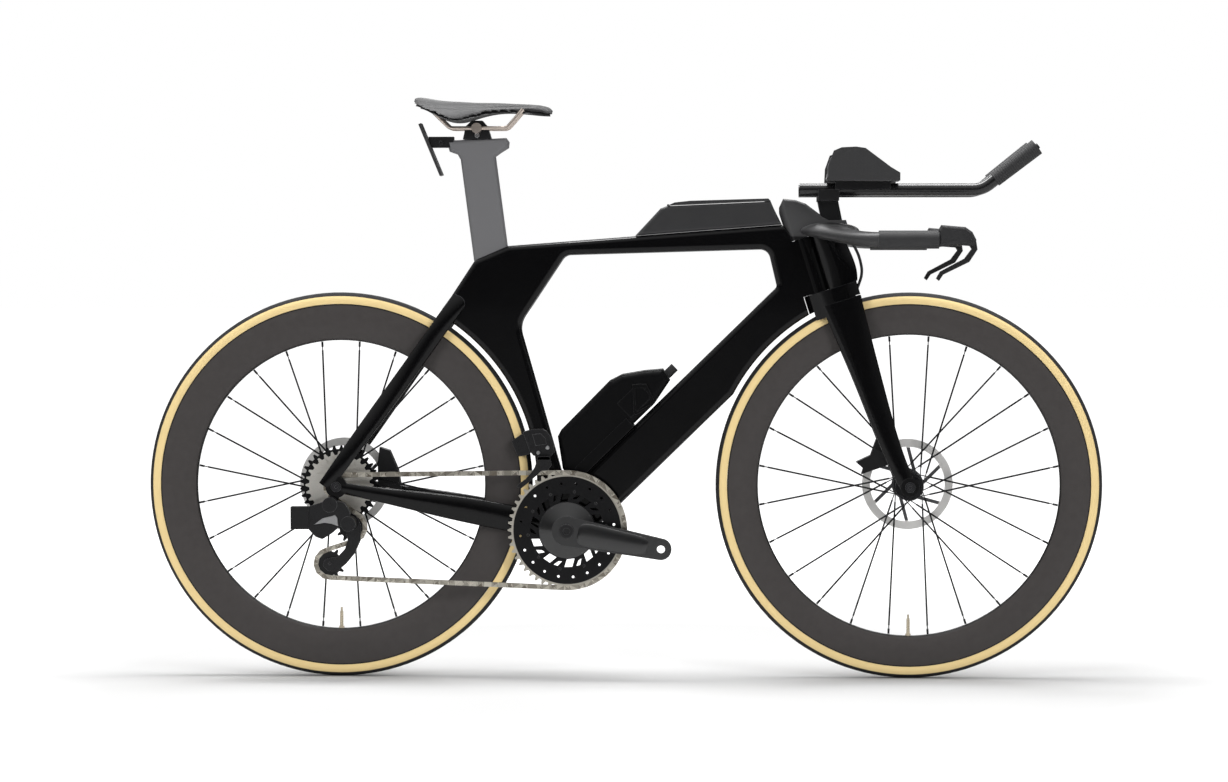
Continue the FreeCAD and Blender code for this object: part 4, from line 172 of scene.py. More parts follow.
# Lacquered carbon: frame, rear triangle, fork and nose, moulded in carbon cloth and sprayed gloss black.
# The lacquer has a slight orange peel, a thin film of dust towards the ground and rubbed edges.
def new_group(name, inputs, outputs):
    group = bpy.data.node_groups.new(name, "ShaderNodeTree")
    for label, kind, value in inputs:
        socket = group.interface.new_socket(label, in_out="INPUT", socket_type=kind)
        socket.default_value = value
    for label, kind in outputs:
        group.interface.new_socket(label, in_out="OUTPUT", socket_type=kind)
    return group, group.nodes.new("NodeGroupInput"), group.nodes.new("NodeGroupOutput")


NUMBER = "NodeSocketFloat"
COLOUR = "NodeSocketColor"

# worn edges: where the surface turns sharply, broken up by noise
edge_rub, rub_in, rub_out = new_group("edge_rub", (("Width", NUMBER, 0.0012), ("Amount", NUMBER, 0.5)),
                                      (("Mask", NUMBER),))
rounded_normal = add(edge_rub, "ShaderNodeBevel", samples=4)
true_normal = add(edge_rub, "ShaderNodeNewGeometry")
turn = add(edge_rub, "ShaderNodeVectorMath", operation="DOT_PRODUCT")
rub_place = add(edge_rub, "ShaderNodeTexCoord")
rub_noise = add(edge_rub, "ShaderNodeTexNoise")
rub_noise.inputs["Scale"].default_value = 140.0
rub_noise.inputs["Detail"].default_value = 4.0
edge_rub.links.new(rub_in.outputs["Width"], rounded_normal.inputs["Radius"])
edge_rub.links.new(rounded_normal.outputs[0], turn.inputs[0])
edge_rub.links.new(true_normal.outputs["Normal"], turn.inputs[1])
edge_rub.links.new(rub_place.outputs["Object"], rub_noise.inputs["Vector"])
sharpness = sums(edge_rub, "MULTIPLY", sums(edge_rub, "SUBTRACT", 1.0, turn.outputs["Value"]), 5.0)
broken = sums(edge_rub, "MULTIPLY", sharpness, rub_noise.outputs["Fac"])
limited = add(edge_rub, "ShaderNodeClamp")
edge_rub.links.new(sums(edge_rub, "MULTIPLY", broken, rub_in.outputs["Amount"]), limited.inputs["Value"])
edge_rub.links.new(limited.outputs[0], rub_out.inputs["Mask"])

# dust film: heavier near the ground and in faint patches
dust_film, dust_in, dust_out = new_group("dust_film", (("Amount", NUMBER, 0.3), ("Height", NUMBER, 0.5)),
                                         (("Mask", NUMBER),))
dust_place = add(dust_film, "ShaderNodeTexCoord")
dust_split = add(dust_film, "ShaderNodeSeparateXYZ")
dust_noise = add(dust_film, "ShaderNodeTexNoise")
dust_noise.inputs["Scale"].default_value = 26.0
dust_noise.inputs["Detail"].default_value = 8.0
dust_film.links.new(dust_place.outputs["Object"], dust_split.inputs[0])
dust_film.links.new(dust_place.outputs["Object"], dust_noise.inputs["Vector"])
low_down = add(dust_film, "ShaderNodeMapRange")
low_down.inputs["To Min"].default_value = 1.0
low_down.inputs["To Max"].default_value = 0.25
dust_film.links.new(dust_split.outputs["Z"], low_down.inputs["Value"])
dust_film.links.new(dust_in.outputs["Height"], low_down.inputs["From Max"])
patchy = sums(dust_film, "MULTIPLY", low_down.outputs[0], dust_noise.outputs["Fac"])
dust_film.links.new(sums(dust_film, "MULTIPLY", patchy, dust_in.outputs["Amount"]), dust_out.inputs["Mask"])

# twill weave: over-two-under-two cloth seen from the side, at 45 degrees; each strand is painted lighter on
# its crown and darker where it dips, painted shade over the weave pattern
twill, twill_in, twill_out = new_group("twill", (("Strand", NUMBER, 0.002),
                                                 ("Light", COLOUR, (0.05, 0.05, 0.05, 1)),
                                                 ("Dark", COLOUR, (0.02, 0.02, 0.02, 1))),
                                       (("Colour", COLOUR), ("Height", NUMBER)))
twill_place = add(twill, "ShaderNodeTexCoord")
twill_split = add(twill, "ShaderNodeSeparateXYZ")
twill.links.new(twill_place.outputs["Object"], twill_split.inputs[0])
slant_up = sums(twill, "ADD", twill_split.outputs["X"], twill_split.outputs["Z"])
slant_down = sums(twill, "SUBTRACT", sums(twill, "ADD", twill_split.outputs["X"], twill_split.outputs["Y"]),
                  twill_split.outputs["Z"])
warp = sums(twill, "DIVIDE", slant_up, twill_in.outputs["Strand"])
weft = sums(twill, "DIVIDE", slant_down, twill_in.outputs["Strand"])
step = sums(twill, "ADD", sums(twill, "FLOOR", warp), sums(twill, "FLOOR", weft))
over = sums(twill, "LESS_THAN", sums(twill, "WRAP", step, 4.0, 0.0), 1.5)
warp_round = sums(twill, "PINGPONG", warp, 0.5)
weft_round = sums(twill, "PINGPONG", weft, 0.5)
strand_height = add(twill, "ShaderNodeMix")
twill.links.new(over, strand_height.inputs["Factor"])
twill.links.new(warp_round, strand_height.inputs["A"])
twill.links.new(weft_round, strand_height.inputs["B"])
# colour follows the over-under pattern, plus painted shade from the strand height
strand_colour_with_painted_shade = add(twill, "ShaderNodeMix", data_type="RGBA")
twill.links.new(sums(twill, "MULTIPLY", sums(twill, "ADD", over, strand_height.outputs[0]), 0.6),
                strand_colour_with_painted_shade.inputs["Factor"])
twill.links.new(twill_in.outputs["Dark"], strand_colour_with_painted_shade.inputs["A"])
twill.links.new(twill_in.outputs["Light"], strand_colour_with_painted_shade.inputs["B"])
twill.links.new(strand_colour_with_painted_shade.outputs["Result"], twill_out.inputs["Colour"])
twill.links.new(strand_height.outputs["Result"], twill_out.inputs["Height"])


class Finish:
    """A material with one Principled shader, and short calls that wire details into it."""

    def __init__(self, name, colour, roughness, **constants):
        self.material = bpy.data.materials.new(name)
        self.material.use_nodes = True
        self.material.diffuse_color = (*colour, 1)
        self.tree = self.material.node_tree
        self.shader = self.tree.nodes["Principled BSDF"]
        self.shader.inputs["Base Color"].default_value = (*colour, 1)
        self.shader.inputs["Roughness"].default_value = roughness
        for label, value in constants.items():
            self.shader.inputs[label.replace("_", " ")].default_value = value
        self.colour = (*colour, 1)
        self.bump_normal = None

    def place(self, group, **values):
        made = self.tree.nodes.new("ShaderNodeGroup")
        made.node_tree = group
        for label, value in values.items():
            if hasattr(value, "is_linked"):
                self.tree.links.new(value, made.inputs[label])
            else:
                made.inputs[label].default_value = value
        return made.outputs

    def mix(self, mask, first, second):
        made = add(self.tree, "ShaderNodeMix", data_type="RGBA")
        self.tree.links.new(mask, made.inputs["Factor"])
        for label, value in (("A", first), ("B", second)):
            socket = [s for s in made.inputs if s.name == label and s.type == "RGBA"][0]
            if hasattr(value, "is_linked"):
                self.tree.links.new(value, socket)
            else:
                socket.default_value = value if len(value) == 4 else (*value, 1)
        return [s for s in made.outputs if s.type == "RGBA"][0]

    def feed(self, label, value):
        self.tree.links.new(value, self.shader.inputs[label])

    def bump(self, height, depth, strength=1.0):
        made = add(self.tree, "ShaderNodeBump")
        made.inputs["Distance"].default_value = depth
        made.inputs["Strength"].default_value = strength
        self.tree.links.new(height, made.inputs["Height"])
        if self.bump_normal:
            self.tree.links.new(self.bump_normal, made.inputs["Normal"])
        self.bump_normal = made.outputs[0]
        self.feed("Normal", made.outputs[0])

    def noise(self, scale, detail=3.0, stretch=(1, 1, 1)):
        place = add(self.tree, "ShaderNodeTexCoord")
        sized = add(self.tree, "ShaderNodeMapping")
        sized.inputs["Scale"].default_value = stretch
        made = add(self.tree, "ShaderNodeTexNoise")
        made.inputs["Scale"].default_value = scale
        made.inputs["Detail"].default_value = detail
        self.tree.links.new(place.outputs["Object"], sized.inputs[0])
        self.tree.links.new(sized.outputs[0], made.inputs["Vector"])
        return made.outputs["Fac"]

    def radius_from(self, centre):
        """Distance from an axle line that lies along Y."""
        place = add(self.tree, "ShaderNodeTexCoord")
        moved = add(self.tree, "ShaderNodeVectorMath", operation="SUBTRACT")
        moved.inputs[1].default_value = centre
        flat = add(self.tree, "ShaderNodeVectorMath", operation="MULTIPLY")
        flat.inputs[1].default_value = (1, 0, 1)
        far = add(self.tree, "ShaderNodeVectorMath", operation="LENGTH")
        self.tree.links.new(place.outputs["Object"], moved.inputs[0])
        self.tree.links.new(moved.outputs[0], flat.inputs[0])
        self.tree.links.new(flat.outputs[0], far.inputs[0])
        return far.outputs["Value"]

    def axes(self):
        """X, Y and Z of the surface in the part's own frame."""
        place = add(self.tree, "ShaderNodeTexCoord")
        split = add(self.tree, "ShaderNodeSeparateXYZ")
        self.tree.links.new(place.outputs["Object"], split.inputs[0])
        return split.outputs

    def reckon(self, operation, *values):
        return sums(self.tree, operation, *values)

    def wear(self, width, amount, under, bare):
        """Base colour that turns to a bare tone where the edges are rubbed."""
        self.tint(self.place(edge_rub, Width=width, Amount=amount)["Mask"], under, bare)

    def tint(self, share, one, other):
        """Base colour that goes from one tone to another."""
        self.feed("Base Color", self.mix(share, one, other))

    def rough(self, share, least, most):
        self.feed("Roughness", ranged(self.tree, share, 0.0, 1.0, least, most))

    def beyond(self, value, edge, soft):
        """Nought before an edge and one past it."""
        return ranged(self.tree, value, edge - soft, edge + soft, 0.0, 1.0)


def dress(finish, *names):
    for name in names:
        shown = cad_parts[name]
        shown.data.materials.clear()
        shown.data.materials.append(finish.material)


lacquer = Finish("gloss_black_lacquer", (0.0022, 0.0022, 0.0025), 0.16, Specular_IOR_Level=0.12,
                 Coat_Weight=0.3, Coat_Roughness=0.04)
dusty = lacquer.place(dust_film, Amount=0.06, Height=0.7)["Mask"]
lacquer.wear(0.0015, 0.5, lacquer.mix(dusty, lacquer.colour, (0.05, 0.048, 0.045)), (0.05, 0.05, 0.052))
lacquer.rough(dusty, 0.12, 0.7)
lacquer.bump(lacquer.noise(420, 2), 0.00005, 0.35)
dress(lacquer, "frame", "rear_triangle", "fork", "nose_fairing")


# Bearings: pressed-in bearing rings of ground steel, turned to a fine circular lay.
# They show only as thin rings at the head tube and the bottom bracket.
bearing_steel = Finish("bearing_steel", (0.42, 0.42, 0.43), 0.28, Metallic=1.0)
turned_lay = bearing_steel.noise(700, 2, (1, 0.05, 1))
bearing_steel.rough(turned_lay, 0.18, 0.42)
bearing_steel.bump(turned_lay, 0.00003, 0.5)
dress(bearing_steel, "frame_bearings")


# Axles: through axles of black anodised alloy, rubbed bright on their heads.
# A hexagon-socket end sits in each head, turned in one piece and sunk a little into its face.
axle_black = Finish("axle_black_anodised", (0.022, 0.022, 0.024), 0.35, Metallic=0.6)
axle_black.wear(0.0008, 0.9, axle_black.colour, (0.30, 0.30, 0.31))
axle_black.rough(axle_black.noise(900, 2), 0.28, 0.45)
dress(axle_black, "rear_axle", "front_axle")

AROUND = 24
HEXAGON = math.radians(60)
BOLT_SINK = 0.0004
SOCKET_SHARE = 0.46
AXLE_END_RADIUS = 0.0058
AXLE_END_HEIGHT = 0.0012


def place_mesh(name, form, body, finish):
    """Close a bmesh into a piece that rides on a body."""
    bmesh.ops.recalc_face_normals(form, faces=form.faces)
    mesh = bpy.data.meshes.new(name)
    form.to_mesh(mesh)
    form.free()
    piece = bpy.data.objects.new(name, mesh)
    bpy.context.scene.collection.objects.link(piece)
    mesh.materials.append(finish.material)
    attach(piece, body)
    return piece


def bridge(form, loops, ring=False):
    """Skin a run of point loops, and close both ends or join them into a ring."""
    for near, far in zip(loops, loops[1:] + loops[:1] if ring else loops[1:]):
        for index in range(len(near)):
            after = (index + 1) % len(near)
            form.faces.new((near[index], near[after], far[after], far[index]))
    if not ring:
        form.faces.new(loops[0])
        form.faces.new(loops[-1])


def socket_bolt(name, place, way, radius, height, body, finish):
    """Bolt head with a rounded shoulder and a hexagon socket, pointing along way."""
    turn = Vector(way).to_track_quat("Z", "Y")
    socket = radius * SOCKET_SHARE
    form = bmesh.new()
    loops = []
    for reach, rise, hexagonal in ((radius, -BOLT_SINK, False), (radius, height * 0.7, False),
                                   (radius * 0.93, height * 0.93, False), (radius * 0.84, height, False),
                                   (socket * 1.06, height, True), (socket, height * 0.93, True),
                                   (socket, height * 0.2, True)):
        loop = []
        for index in range(AROUND):
            angle = 2 * math.pi * index / AROUND
            out = reach / math.cos(angle % HEXAGON - HEXAGON / 2) if hexagonal else reach
            loop.append(form.verts.new(Vector(place) + turn @ Vector((out * math.cos(angle),
                                                                      out * math.sin(angle), rise))))
        loops.append(loop)
    bridge(form, loops)
    return place_mesh(name, form, body, finish)


for axle_name, axle_body in (("rear_axle", "frame"), ("front_axle", "steering")):
    axle_low, axle_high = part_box(axle_name)
    axle_x = (axle_low[0] + axle_high[0]) / 2
    axle_z = (axle_low[2] + axle_high[2]) / 2
    for side, axle_y in ((-1, axle_low[1]), (1, axle_high[1])):
        socket_bolt("%s_end_%s" % (axle_name, "right" if side < 0 else "left"), (axle_x, axle_y, axle_z),
                    (0, side, 0), AXLE_END_RADIUS, AXLE_END_HEIGHT, axle_body, axle_black)


# Seat post: aero blade in satin grey paint over carbon, with fine metallic flake.
# It slides in the seat tube and is rubbed a little brighter along its edges.
post_paint = Finish("post_satin_grey", (0.135, 0.135, 0.14), 0.42, Specular_IOR_Level=0.4)
flake = post_paint.noise(2600, 1)
post_paint.wear(0.002, 0.7, post_paint.mix(flake, (0.118, 0.118, 0.122), (0.152, 0.152, 0.158)),
                (0.24, 0.24, 0.25))
post_paint.rough(flake, 0.34, 0.5)
post_paint.bump(post_paint.noise(500, 2), 0.00004, 0.4)
dress(post_paint, "seat_post")


# Saddle clamp and accessory plate: black anodised alloy yoke and barrel, and a satin carbon plate on its arm.
# On each side a bright bolt draws the barrel tight, and a dark one holds the arm of the plate.
alloy = Finish("black_alloy", (0.018, 0.018, 0.019), 0.36, Metallic=0.5)
alloy.wear(0.0009, 0.9, alloy.colour, (0.20, 0.20, 0.205))
alloy.rough(alloy.noise(1200, 2), 0.3, 0.48)
alloy.bump(alloy.noise(2200, 1), 0.00004, 0.4)
dress(alloy, "saddle_clamp")
bolt_steel = Finish("bolt_steel", (0.58, 0.58, 0.59), 0.26, Metallic=1.0)
bolt_lay = bolt_steel.noise(1800, 2)
bolt_steel.tint(bolt_lay, (0.50, 0.50, 0.51), (0.66, 0.66, 0.67))
bolt_steel.rough(bolt_lay, 0.2, 0.42)
satin = Finish("satin_carbon", (0.034, 0.034, 0.035), 0.42, Specular_IOR_Level=0.4)
satin_cloth = satin.place(twill, Strand=0.0012, Light=(0.038, 0.038, 0.039, 1), Dark=(0.029, 0.029, 0.030, 1))
satin.wear(0.0016, 0.8, satin_cloth["Colour"], (0.12, 0.12, 0.122))
satin.rough(satin.noise(300, 4), 0.34, 0.5)
satin.bump(satin_cloth["Height"], 0.00003, 0.3)
dress(satin, "accessory_plate")
bpy.context.view_layer.update()


def side_face(node, x, z, side=-1):
    """Point where a level line across the bike first meets a CAD solid, from its right or its left."""
    hit, place, _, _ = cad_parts[node].ray_cast(Vector((x, side, z)), Vector((0, -side, 0)))
    if not hit:
        raise RuntimeError("no face of %s at %.3f, %.3f" % (node, x, z))
    return place


CLAMP_BOLT = (-0.2579, 0.9537)
CLAMP_BOLT_RADIUS = 0.0045
CLAMP_BOLT_HEIGHT = 0.0025
PLATE_BOLT = (-0.322, 0.941)
PLATE_BOLT_RADIUS = 0.0048
PLATE_BOLT_HEIGHT = 0.002
for side, label in ((-1, "right"), (1, "left")):
    socket_bolt("clamp_bolt_" + label, side_face("saddle_clamp", *CLAMP_BOLT, side), (0, side, 0),
                CLAMP_BOLT_RADIUS, CLAMP_BOLT_HEIGHT, "seat", bolt_steel)
    socket_bolt("plate_bolt_" + label, side_face("saddle_clamp", *PLATE_BOLT, side), (0, side, 0),
                PLATE_BOLT_RADIUS, PLATE_BOLT_HEIGHT, "seat", alloy)


# Saddle cover: synthetic leather over foam, crowned and drawn in at the sides, with a channel along the top
# and a sewn seam low on each side. Swollen by a short cloth run inside the space of its CAD solid.
def bake(piece):
    """Give a piece the mesh that its modifiers make of it."""
    shown = piece.evaluated_get(bpy.context.evaluated_depsgraph_get())
    made = bpy.data.meshes.new_from_object(shown)
    piece.modifiers.clear()
    piece.data = made


def swell(name, node, voxel, inset, cap, held):
    """Even out a copy of a CAD solid, start it a little smaller and let air pressure fill it."""
    piece = bpy.data.objects.new(name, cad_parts[node].data.copy())
    bpy.context.scene.collection.objects.link(piece)
    piece.data.materials.clear()
    even = piece.modifiers.new("even", "REMESH")
    even.mode = "VOXEL"
    even.voxel_size = voxel
    calm = piece.modifiers.new("calm", "SMOOTH")
    calm.factor = 0.5
    calm.iterations = 6
    bake(piece)
    normals = [vertex.normal.copy() for vertex in piece.data.vertices]
    for vertex, normal in zip(piece.data.vertices, normals):
        vertex.co -= normal * inset
    start = [vertex.co.copy() for vertex in piece.data.vertices]
    pins = piece.vertex_groups.new(name="held")
    pins.add([v.index for v, n in zip(piece.data.vertices, normals) if held(v.co, n)], 1.0, "REPLACE")
    cloth = piece.modifiers.new("swelling", "CLOTH")
    cloth.settings.use_pressure = True
    cloth.settings.uniform_pressure_force = 4.0
    cloth.settings.effector_weights.gravity = 0.0
    cloth.settings.vertex_group_mass = "held"
    for moment in range(1, 21):
        bpy.context.scene.frame_set(moment)
    bake(piece)
    for vertex, before in zip(piece.data.vertices, start):
        moved = vertex.co - before
        if moved.length > cap:
            vertex.co = before + moved * (cap / moved.length)
    bpy.context.scene.frame_set(1)
    return piece


def smooth_over(piece, finish):
    """One subdivision, smooth shading and a material, once a soft piece has its form."""
    rounder = piece.modifiers.new("rounder", "SUBSURF")
    rounder.levels = 1
    rounder.render_levels = 1
    bake(piece)
    piece.data.materials.append(finish.material)
    piece.data.polygons.foreach_set("use_smooth", [True] * len(piece.data.polygons))


saddle_low, saddle_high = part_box("saddle_cover")
saddle_length = saddle_high[0] - saddle_low[0]
saddle_depth = saddle_high[2] - saddle_low[2]
PUNCH_PITCH = 0.0055
PUNCH_RADIUS = 0.0011
PUNCHED_FROM = saddle_low[0] + saddle_length * 0.24
PUNCHED_TO = saddle_low[0] + saddle_length * 0.44
PUNCHED_INSIDE = 0.014
PUNCHED_OUTSIDE = 0.042
saddle_fabric = Finish("saddle_microfibre", (0.046, 0.046, 0.048), 0.55, Sheen_Weight=0.06,
                       Sheen_Roughness=0.4)
grain = saddle_fabric.noise(1500, 2)
patches = saddle_fabric.noise(45, 4)
saddle_x, saddle_y, _ = saddle_fabric.axes()
from_row = saddle_fabric.reckon("POWER", saddle_fabric.reckon("PINGPONG", saddle_x, PUNCH_PITCH / 2), 2.0)
from_file = saddle_fabric.reckon("POWER", saddle_fabric.reckon("PINGPONG", saddle_y, PUNCH_PITCH / 2), 2.0)
from_hole = saddle_fabric.reckon("SQRT", saddle_fabric.reckon("ADD", from_row, from_file))
from_middle = saddle_fabric.reckon("ABSOLUTE", saddle_y)
holes = saddle_fabric.reckon("LESS_THAN", from_hole, PUNCH_RADIUS)
for where, test, limit in ((saddle_x, "GREATER_THAN", PUNCHED_FROM), (saddle_x, "LESS_THAN", PUNCHED_TO),
                           (from_middle, "GREATER_THAN", PUNCHED_INSIDE),
                           (from_middle, "LESS_THAN", PUNCHED_OUTSIDE)):
    holes = saddle_fabric.reckon("MULTIPLY", holes, saddle_fabric.reckon(test, where, limit))
saddle_tone = saddle_fabric.mix(patches, (0.015, 0.015, 0.016), (0.023, 0.023, 0.024))
saddle_fabric.tint(holes, saddle_tone, (0.004, 0.006, 0.006))
saddle_fabric.rough(grain, 0.48, 0.68)
saddle_fabric.bump(grain, 0.00012, 0.5)
SADDLE_GRID = 0.0035
SADDLE_SLACK = 0.0006
SADDLE_FILL = 0.0024
UNDERSIDE = -0.2
saddle_cover = swell("saddle_soft_cover", "saddle_cover", SADDLE_GRID, SADDLE_SLACK, SADDLE_FILL,
                     lambda place, normal: normal.z < UNDERSIDE)
smooth_over(saddle_cover, saddle_fabric)
CHANNEL_DEPTH = 0.0035
CHANNEL_WIDTH = 0.007
CHANNEL_REAR = 0.10
CHANNEL_FRONT = 0.97
CHANNEL_REAR_RAMP = 0.15
CHANNEL_FRONT_RAMP = 0.10
UPWARD = 0.25
SEAM_DEPTH = 0.0009
SEAM_WIDTH = 0.0022
SEAM_HEIGHT = 0.52
SEAM_CURVE = 0.20
SEAM_LOWEST = 0.35
SIDEWAYS = 0.35
for vertex in saddle_cover.data.vertices:
    station = (vertex.co.x - saddle_low[0]) / saddle_length
    if vertex.normal.z > UPWARD and CHANNEL_REAR < station < CHANNEL_FRONT:
        run_out = min(1.0, (station - CHANNEL_REAR) / CHANNEL_REAR_RAMP,
                      (CHANNEL_FRONT - station) / CHANNEL_FRONT_RAMP)
        vertex.co.z -= CHANNEL_DEPTH * run_out * math.exp(-(vertex.co.y / CHANNEL_WIDTH) ** 2)
    seam_line = saddle_low[2] + saddle_depth * (SEAM_HEIGHT + SEAM_CURVE * abs(station - SEAM_LOWEST))
    off_seam = abs(vertex.co.z - seam_line)
    if abs(vertex.normal.y) > SIDEWAYS:
        vertex.co -= vertex.normal * SEAM_DEPTH * math.exp(-(off_seam / SEAM_WIDTH) ** 2)
saddle_cover.data.update()
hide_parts("saddle_cover")
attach(saddle_cover, "saddle")


# Saddle shell and rails: moulded plastic shell under the cover, and two drawn titanium rails.
# The rails have a pale copper tint, and the saddle clamp holds them.
shell_plastic = Finish("saddle_shell_plastic", (0.018, 0.018, 0.019), 0.5)
shell_plastic.rough(shell_plastic.noise(900, 3), 0.4, 0.6)
shell_plastic.bump(shell_plastic.noise(1400, 2), 0.00005, 0.4)
dress(shell_plastic, "saddle_shell")
rail_metal = Finish("rail_titanium", (0.70, 0.60, 0.53), 0.3, Metallic=0.9)
drawn_lay = rail_metal.noise(600, 3, (0.1, 1, 1))
rail_metal.tint(drawn_lay, (0.62, 0.53, 0.47), (0.76, 0.67, 0.60))
rail_metal.rough(drawn_lay, 0.2, 0.45)
dress(rail_metal, "saddle_rails")


# Tyres: black tread rubber with a fine file pattern over a pale tan cotton sidewall.
# The sidewall shows its diagonal casing threads; the tread line is where the rubber cap ends.
TREAD_EDGE = 0.3322


def tyre_finish(name, hub):
    made = Finish(name, (0.02, 0.02, 0.02), 0.7, Specular_IOR_Level=0.3)
    radius = made.radius_from(hub)
    tread = made.beyond(radius, TREAD_EDGE, 0.0005)
    worn = made.noise(60, 6)
    threads = made.place(twill, Strand=0.0009, Light=(0.86, 0.68, 0.35, 1), Dark=(0.74, 0.56, 0.26, 1))
    rubber = made.mix(worn, (0.014, 0.014, 0.015), (0.030, 0.030, 0.031))
    wall = made.mix(worn, threads["Colour"], (0.78, 0.60, 0.29))
    made.tint(tread, wall, rubber)
    made.rough(tread, 0.62, 0.78)
    made.bump(threads["Height"], 0.0001, 0.6)
    made.bump(made.noise(800, 2), 0.0001, 0.4)
    return made


REAR_AXLE = (-0.5, 0, 0.339)
FRONT_AXLE = (0.5, 0, 0.339)
dress(tyre_finish("rear_tyre_rubber", REAR_AXLE), "rear_tyre")
dress(tyre_finish("front_tyre_rubber", FRONT_AXLE), "front_tyre")


# Rims: deep hollow carbon hoops with a matt clear coat over unidirectional cloth.
# The lay shows as a faint mottle, road dust dulls the face, and both edges of the hoop are black.
RIM_OUTER_EDGE = 0.3165
RIM_INNER_BAND = 0.0022


def rim_finish(name, hub, nose_radius):
    made = Finish(name, (0.050, 0.046, 0.045), 0.5, Specular_IOR_Level=0.3)
    cloth = made.noise(90, 6)
    dust = made.place(dust_film, Amount=0.10, Height=0.8)["Mask"]
    face = made.mix(dust, made.mix(cloth, (0.040, 0.036, 0.035), (0.054, 0.049, 0.048)), (0.09, 0.085, 0.08))
    radius = made.radius_from(hub)
    inner_band = made.beyond(radius, nose_radius + RIM_INNER_BAND, 0.001)
    outer_band = made.beyond(radius, RIM_OUTER_EDGE, 0.0008)
    face = made.mix(inner_band, (0.006, 0.006, 0.006), face)
    made.tint(outer_band, face, (0.010, 0.010, 0.010))
    made.rough(cloth, 0.42, 0.6)
    made.bump(made.noise(1800, 2), 0.00003, 0.4)
    return made


REAR_RIM_NOSE = 0.2545
FRONT_RIM_NOSE = 0.2645
dress(rim_finish("rear_rim_carbon", REAR_AXLE, REAR_RIM_NOSE), "rear_rim")
dress(rim_finish("front_rim_carbon", FRONT_AXLE, FRONT_RIM_NOSE), "front_rim")


# Spokes and hubs: bladed steel spokes with a dark oxide coat, laced to black anodised alloy hubs.
# The hubs wear to bare metal on their edges.
spoke_coat = Finish("spoke_dark_coat", (0.030, 0.030, 0.032), 0.32, Metallic=0.8)
spoke_coat.tint(spoke_coat.noise(300, 3), (0.022, 0.022, 0.024), (0.05, 0.05, 0.052))
spoke_coat.rough(spoke_coat.noise(500, 2), 0.22, 0.45)
dress(spoke_coat, "rear_spokes", "front_spokes")
hub_black = Finish("hub_black_anodised", (0.020, 0.020, 0.022), 0.30, Metallic=0.7)
hub_black.wear(0.0008, 0.9, hub_black.colour, (0.33, 0.33, 0.34))
hub_black.rough(hub_black.noise(800, 2, (1, 0.08, 1)), 0.2, 0.42)
dress(hub_black, "rear_hub", "front_hub")


# Brake rotors: a stainless band, ground in circles, on a grey alloy carrier.
# The carrier colour ends where the band begins.
ROTOR_BAND_EDGE = 0.0645


def rotor_finish(name, hub):
    made = Finish(name, (0.55, 0.55, 0.56), 0.3, Metallic=0.6)
    radius = made.radius_from(hub)
    band = made.beyond(radius, ROTOR_BAND_EDGE, 0.0004)
    rings = add(made.tree, "ShaderNodeTexNoise", noise_dimensions="1D")
    rings.inputs["Scale"].default_value = 2400
    made.tree.links.new(radius, rings.inputs["W"])
    steel = made.mix(rings.outputs["Fac"], (0.70, 0.69, 0.68), (0.86, 0.85, 0.83))
    made.tint(band, (0.10, 0.10, 0.105), steel)
    made.rough(rings.outputs["Fac"], 0.26, 0.46)
    made.bump(rings.outputs["Fac"], 0.00003, 0.5)
    return made


dress(rotor_finish("rear_rotor_steel", REAR_AXLE), "rear_rotor")
dress(rotor_finish("front_rotor_steel", FRONT_AXLE), "front_rotor")


# Valves: turned brass stems with bright plating worn through at the thread.
# A thin knurled nut holds each stem down on the inner face of its rim.
valve_metal = Finish("valve_plated_brass", (0.72, 0.64, 0.48), 0.25, Metallic=1.0)
plating = valve_metal.noise(1500, 3)
valve_metal.tint(plating, (0.78, 0.74, 0.66), (0.66, 0.52, 0.30))
valve_metal.rough(plating, 0.16, 0.4)
dress(valve_metal, "rear_valve", "front_valve")
NUT_REACH = 0.0048
NUT_HEIGHT = 0.0032
NUT_FLUTES = 16
for valve_name, valve_body in (("rear_valve", "rear_wheel"), ("front_valve", "front_wheel")):
    valve_low, valve_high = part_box(valve_name)
    valve_x = (valve_low[0] + valve_high[0]) / 2
    rim_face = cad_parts[valve_name.replace("valve", "rim")].ray_cast(
        Vector((valve_x + NUT_REACH, 0, valve_high[2])), Vector((0, 0, -1)))[1]
    form = bmesh.new()
    loops = []
    for reach_share, rise_share in ((1.0, -0.15), (1.0, 0.75), (0.88, 1.0), (0.5, 1.0)):
        loop = []
        for index in range(2 * NUT_FLUTES):
            angle = math.pi * index / NUT_FLUTES
            out = NUT_REACH * reach_share * (1.0 if index % 2 else 0.93)
            loop.append(form.verts.new((valve_x + out * math.cos(angle), out * math.sin(angle),
                                        rim_face.z + NUT_HEIGHT * rise_share)))
        loops.append(loop)
    bridge(form, loops)
    place_mesh(valve_name + "_nut", form, valve_body, valve_metal)


# Storage box and lid: moulded satin shell with a lighter, rubbed top edge.
# The lid hinges at its rear end on a barrel that is part of it.
box_plastic = Finish("storage_satin_plastic", (0.036, 0.036, 0.037), 0.46, Specular_IOR_Level=0.4)
box_grain = box_plastic.noise(2200, 2)
box_plastic.wear(0.0022, 0.9, box_plastic.mix(box_plastic.noise(30, 4), (0.022, 0.022, 0.023),
                                              (0.030, 0.030, 0.031)), (0.13, 0.13, 0.132))
box_plastic.rough(box_grain, 0.38, 0.54)
box_plastic.bump(box_grain, 0.00006, 0.5)
dress(box_plastic, "storage_box", "storage_lid")


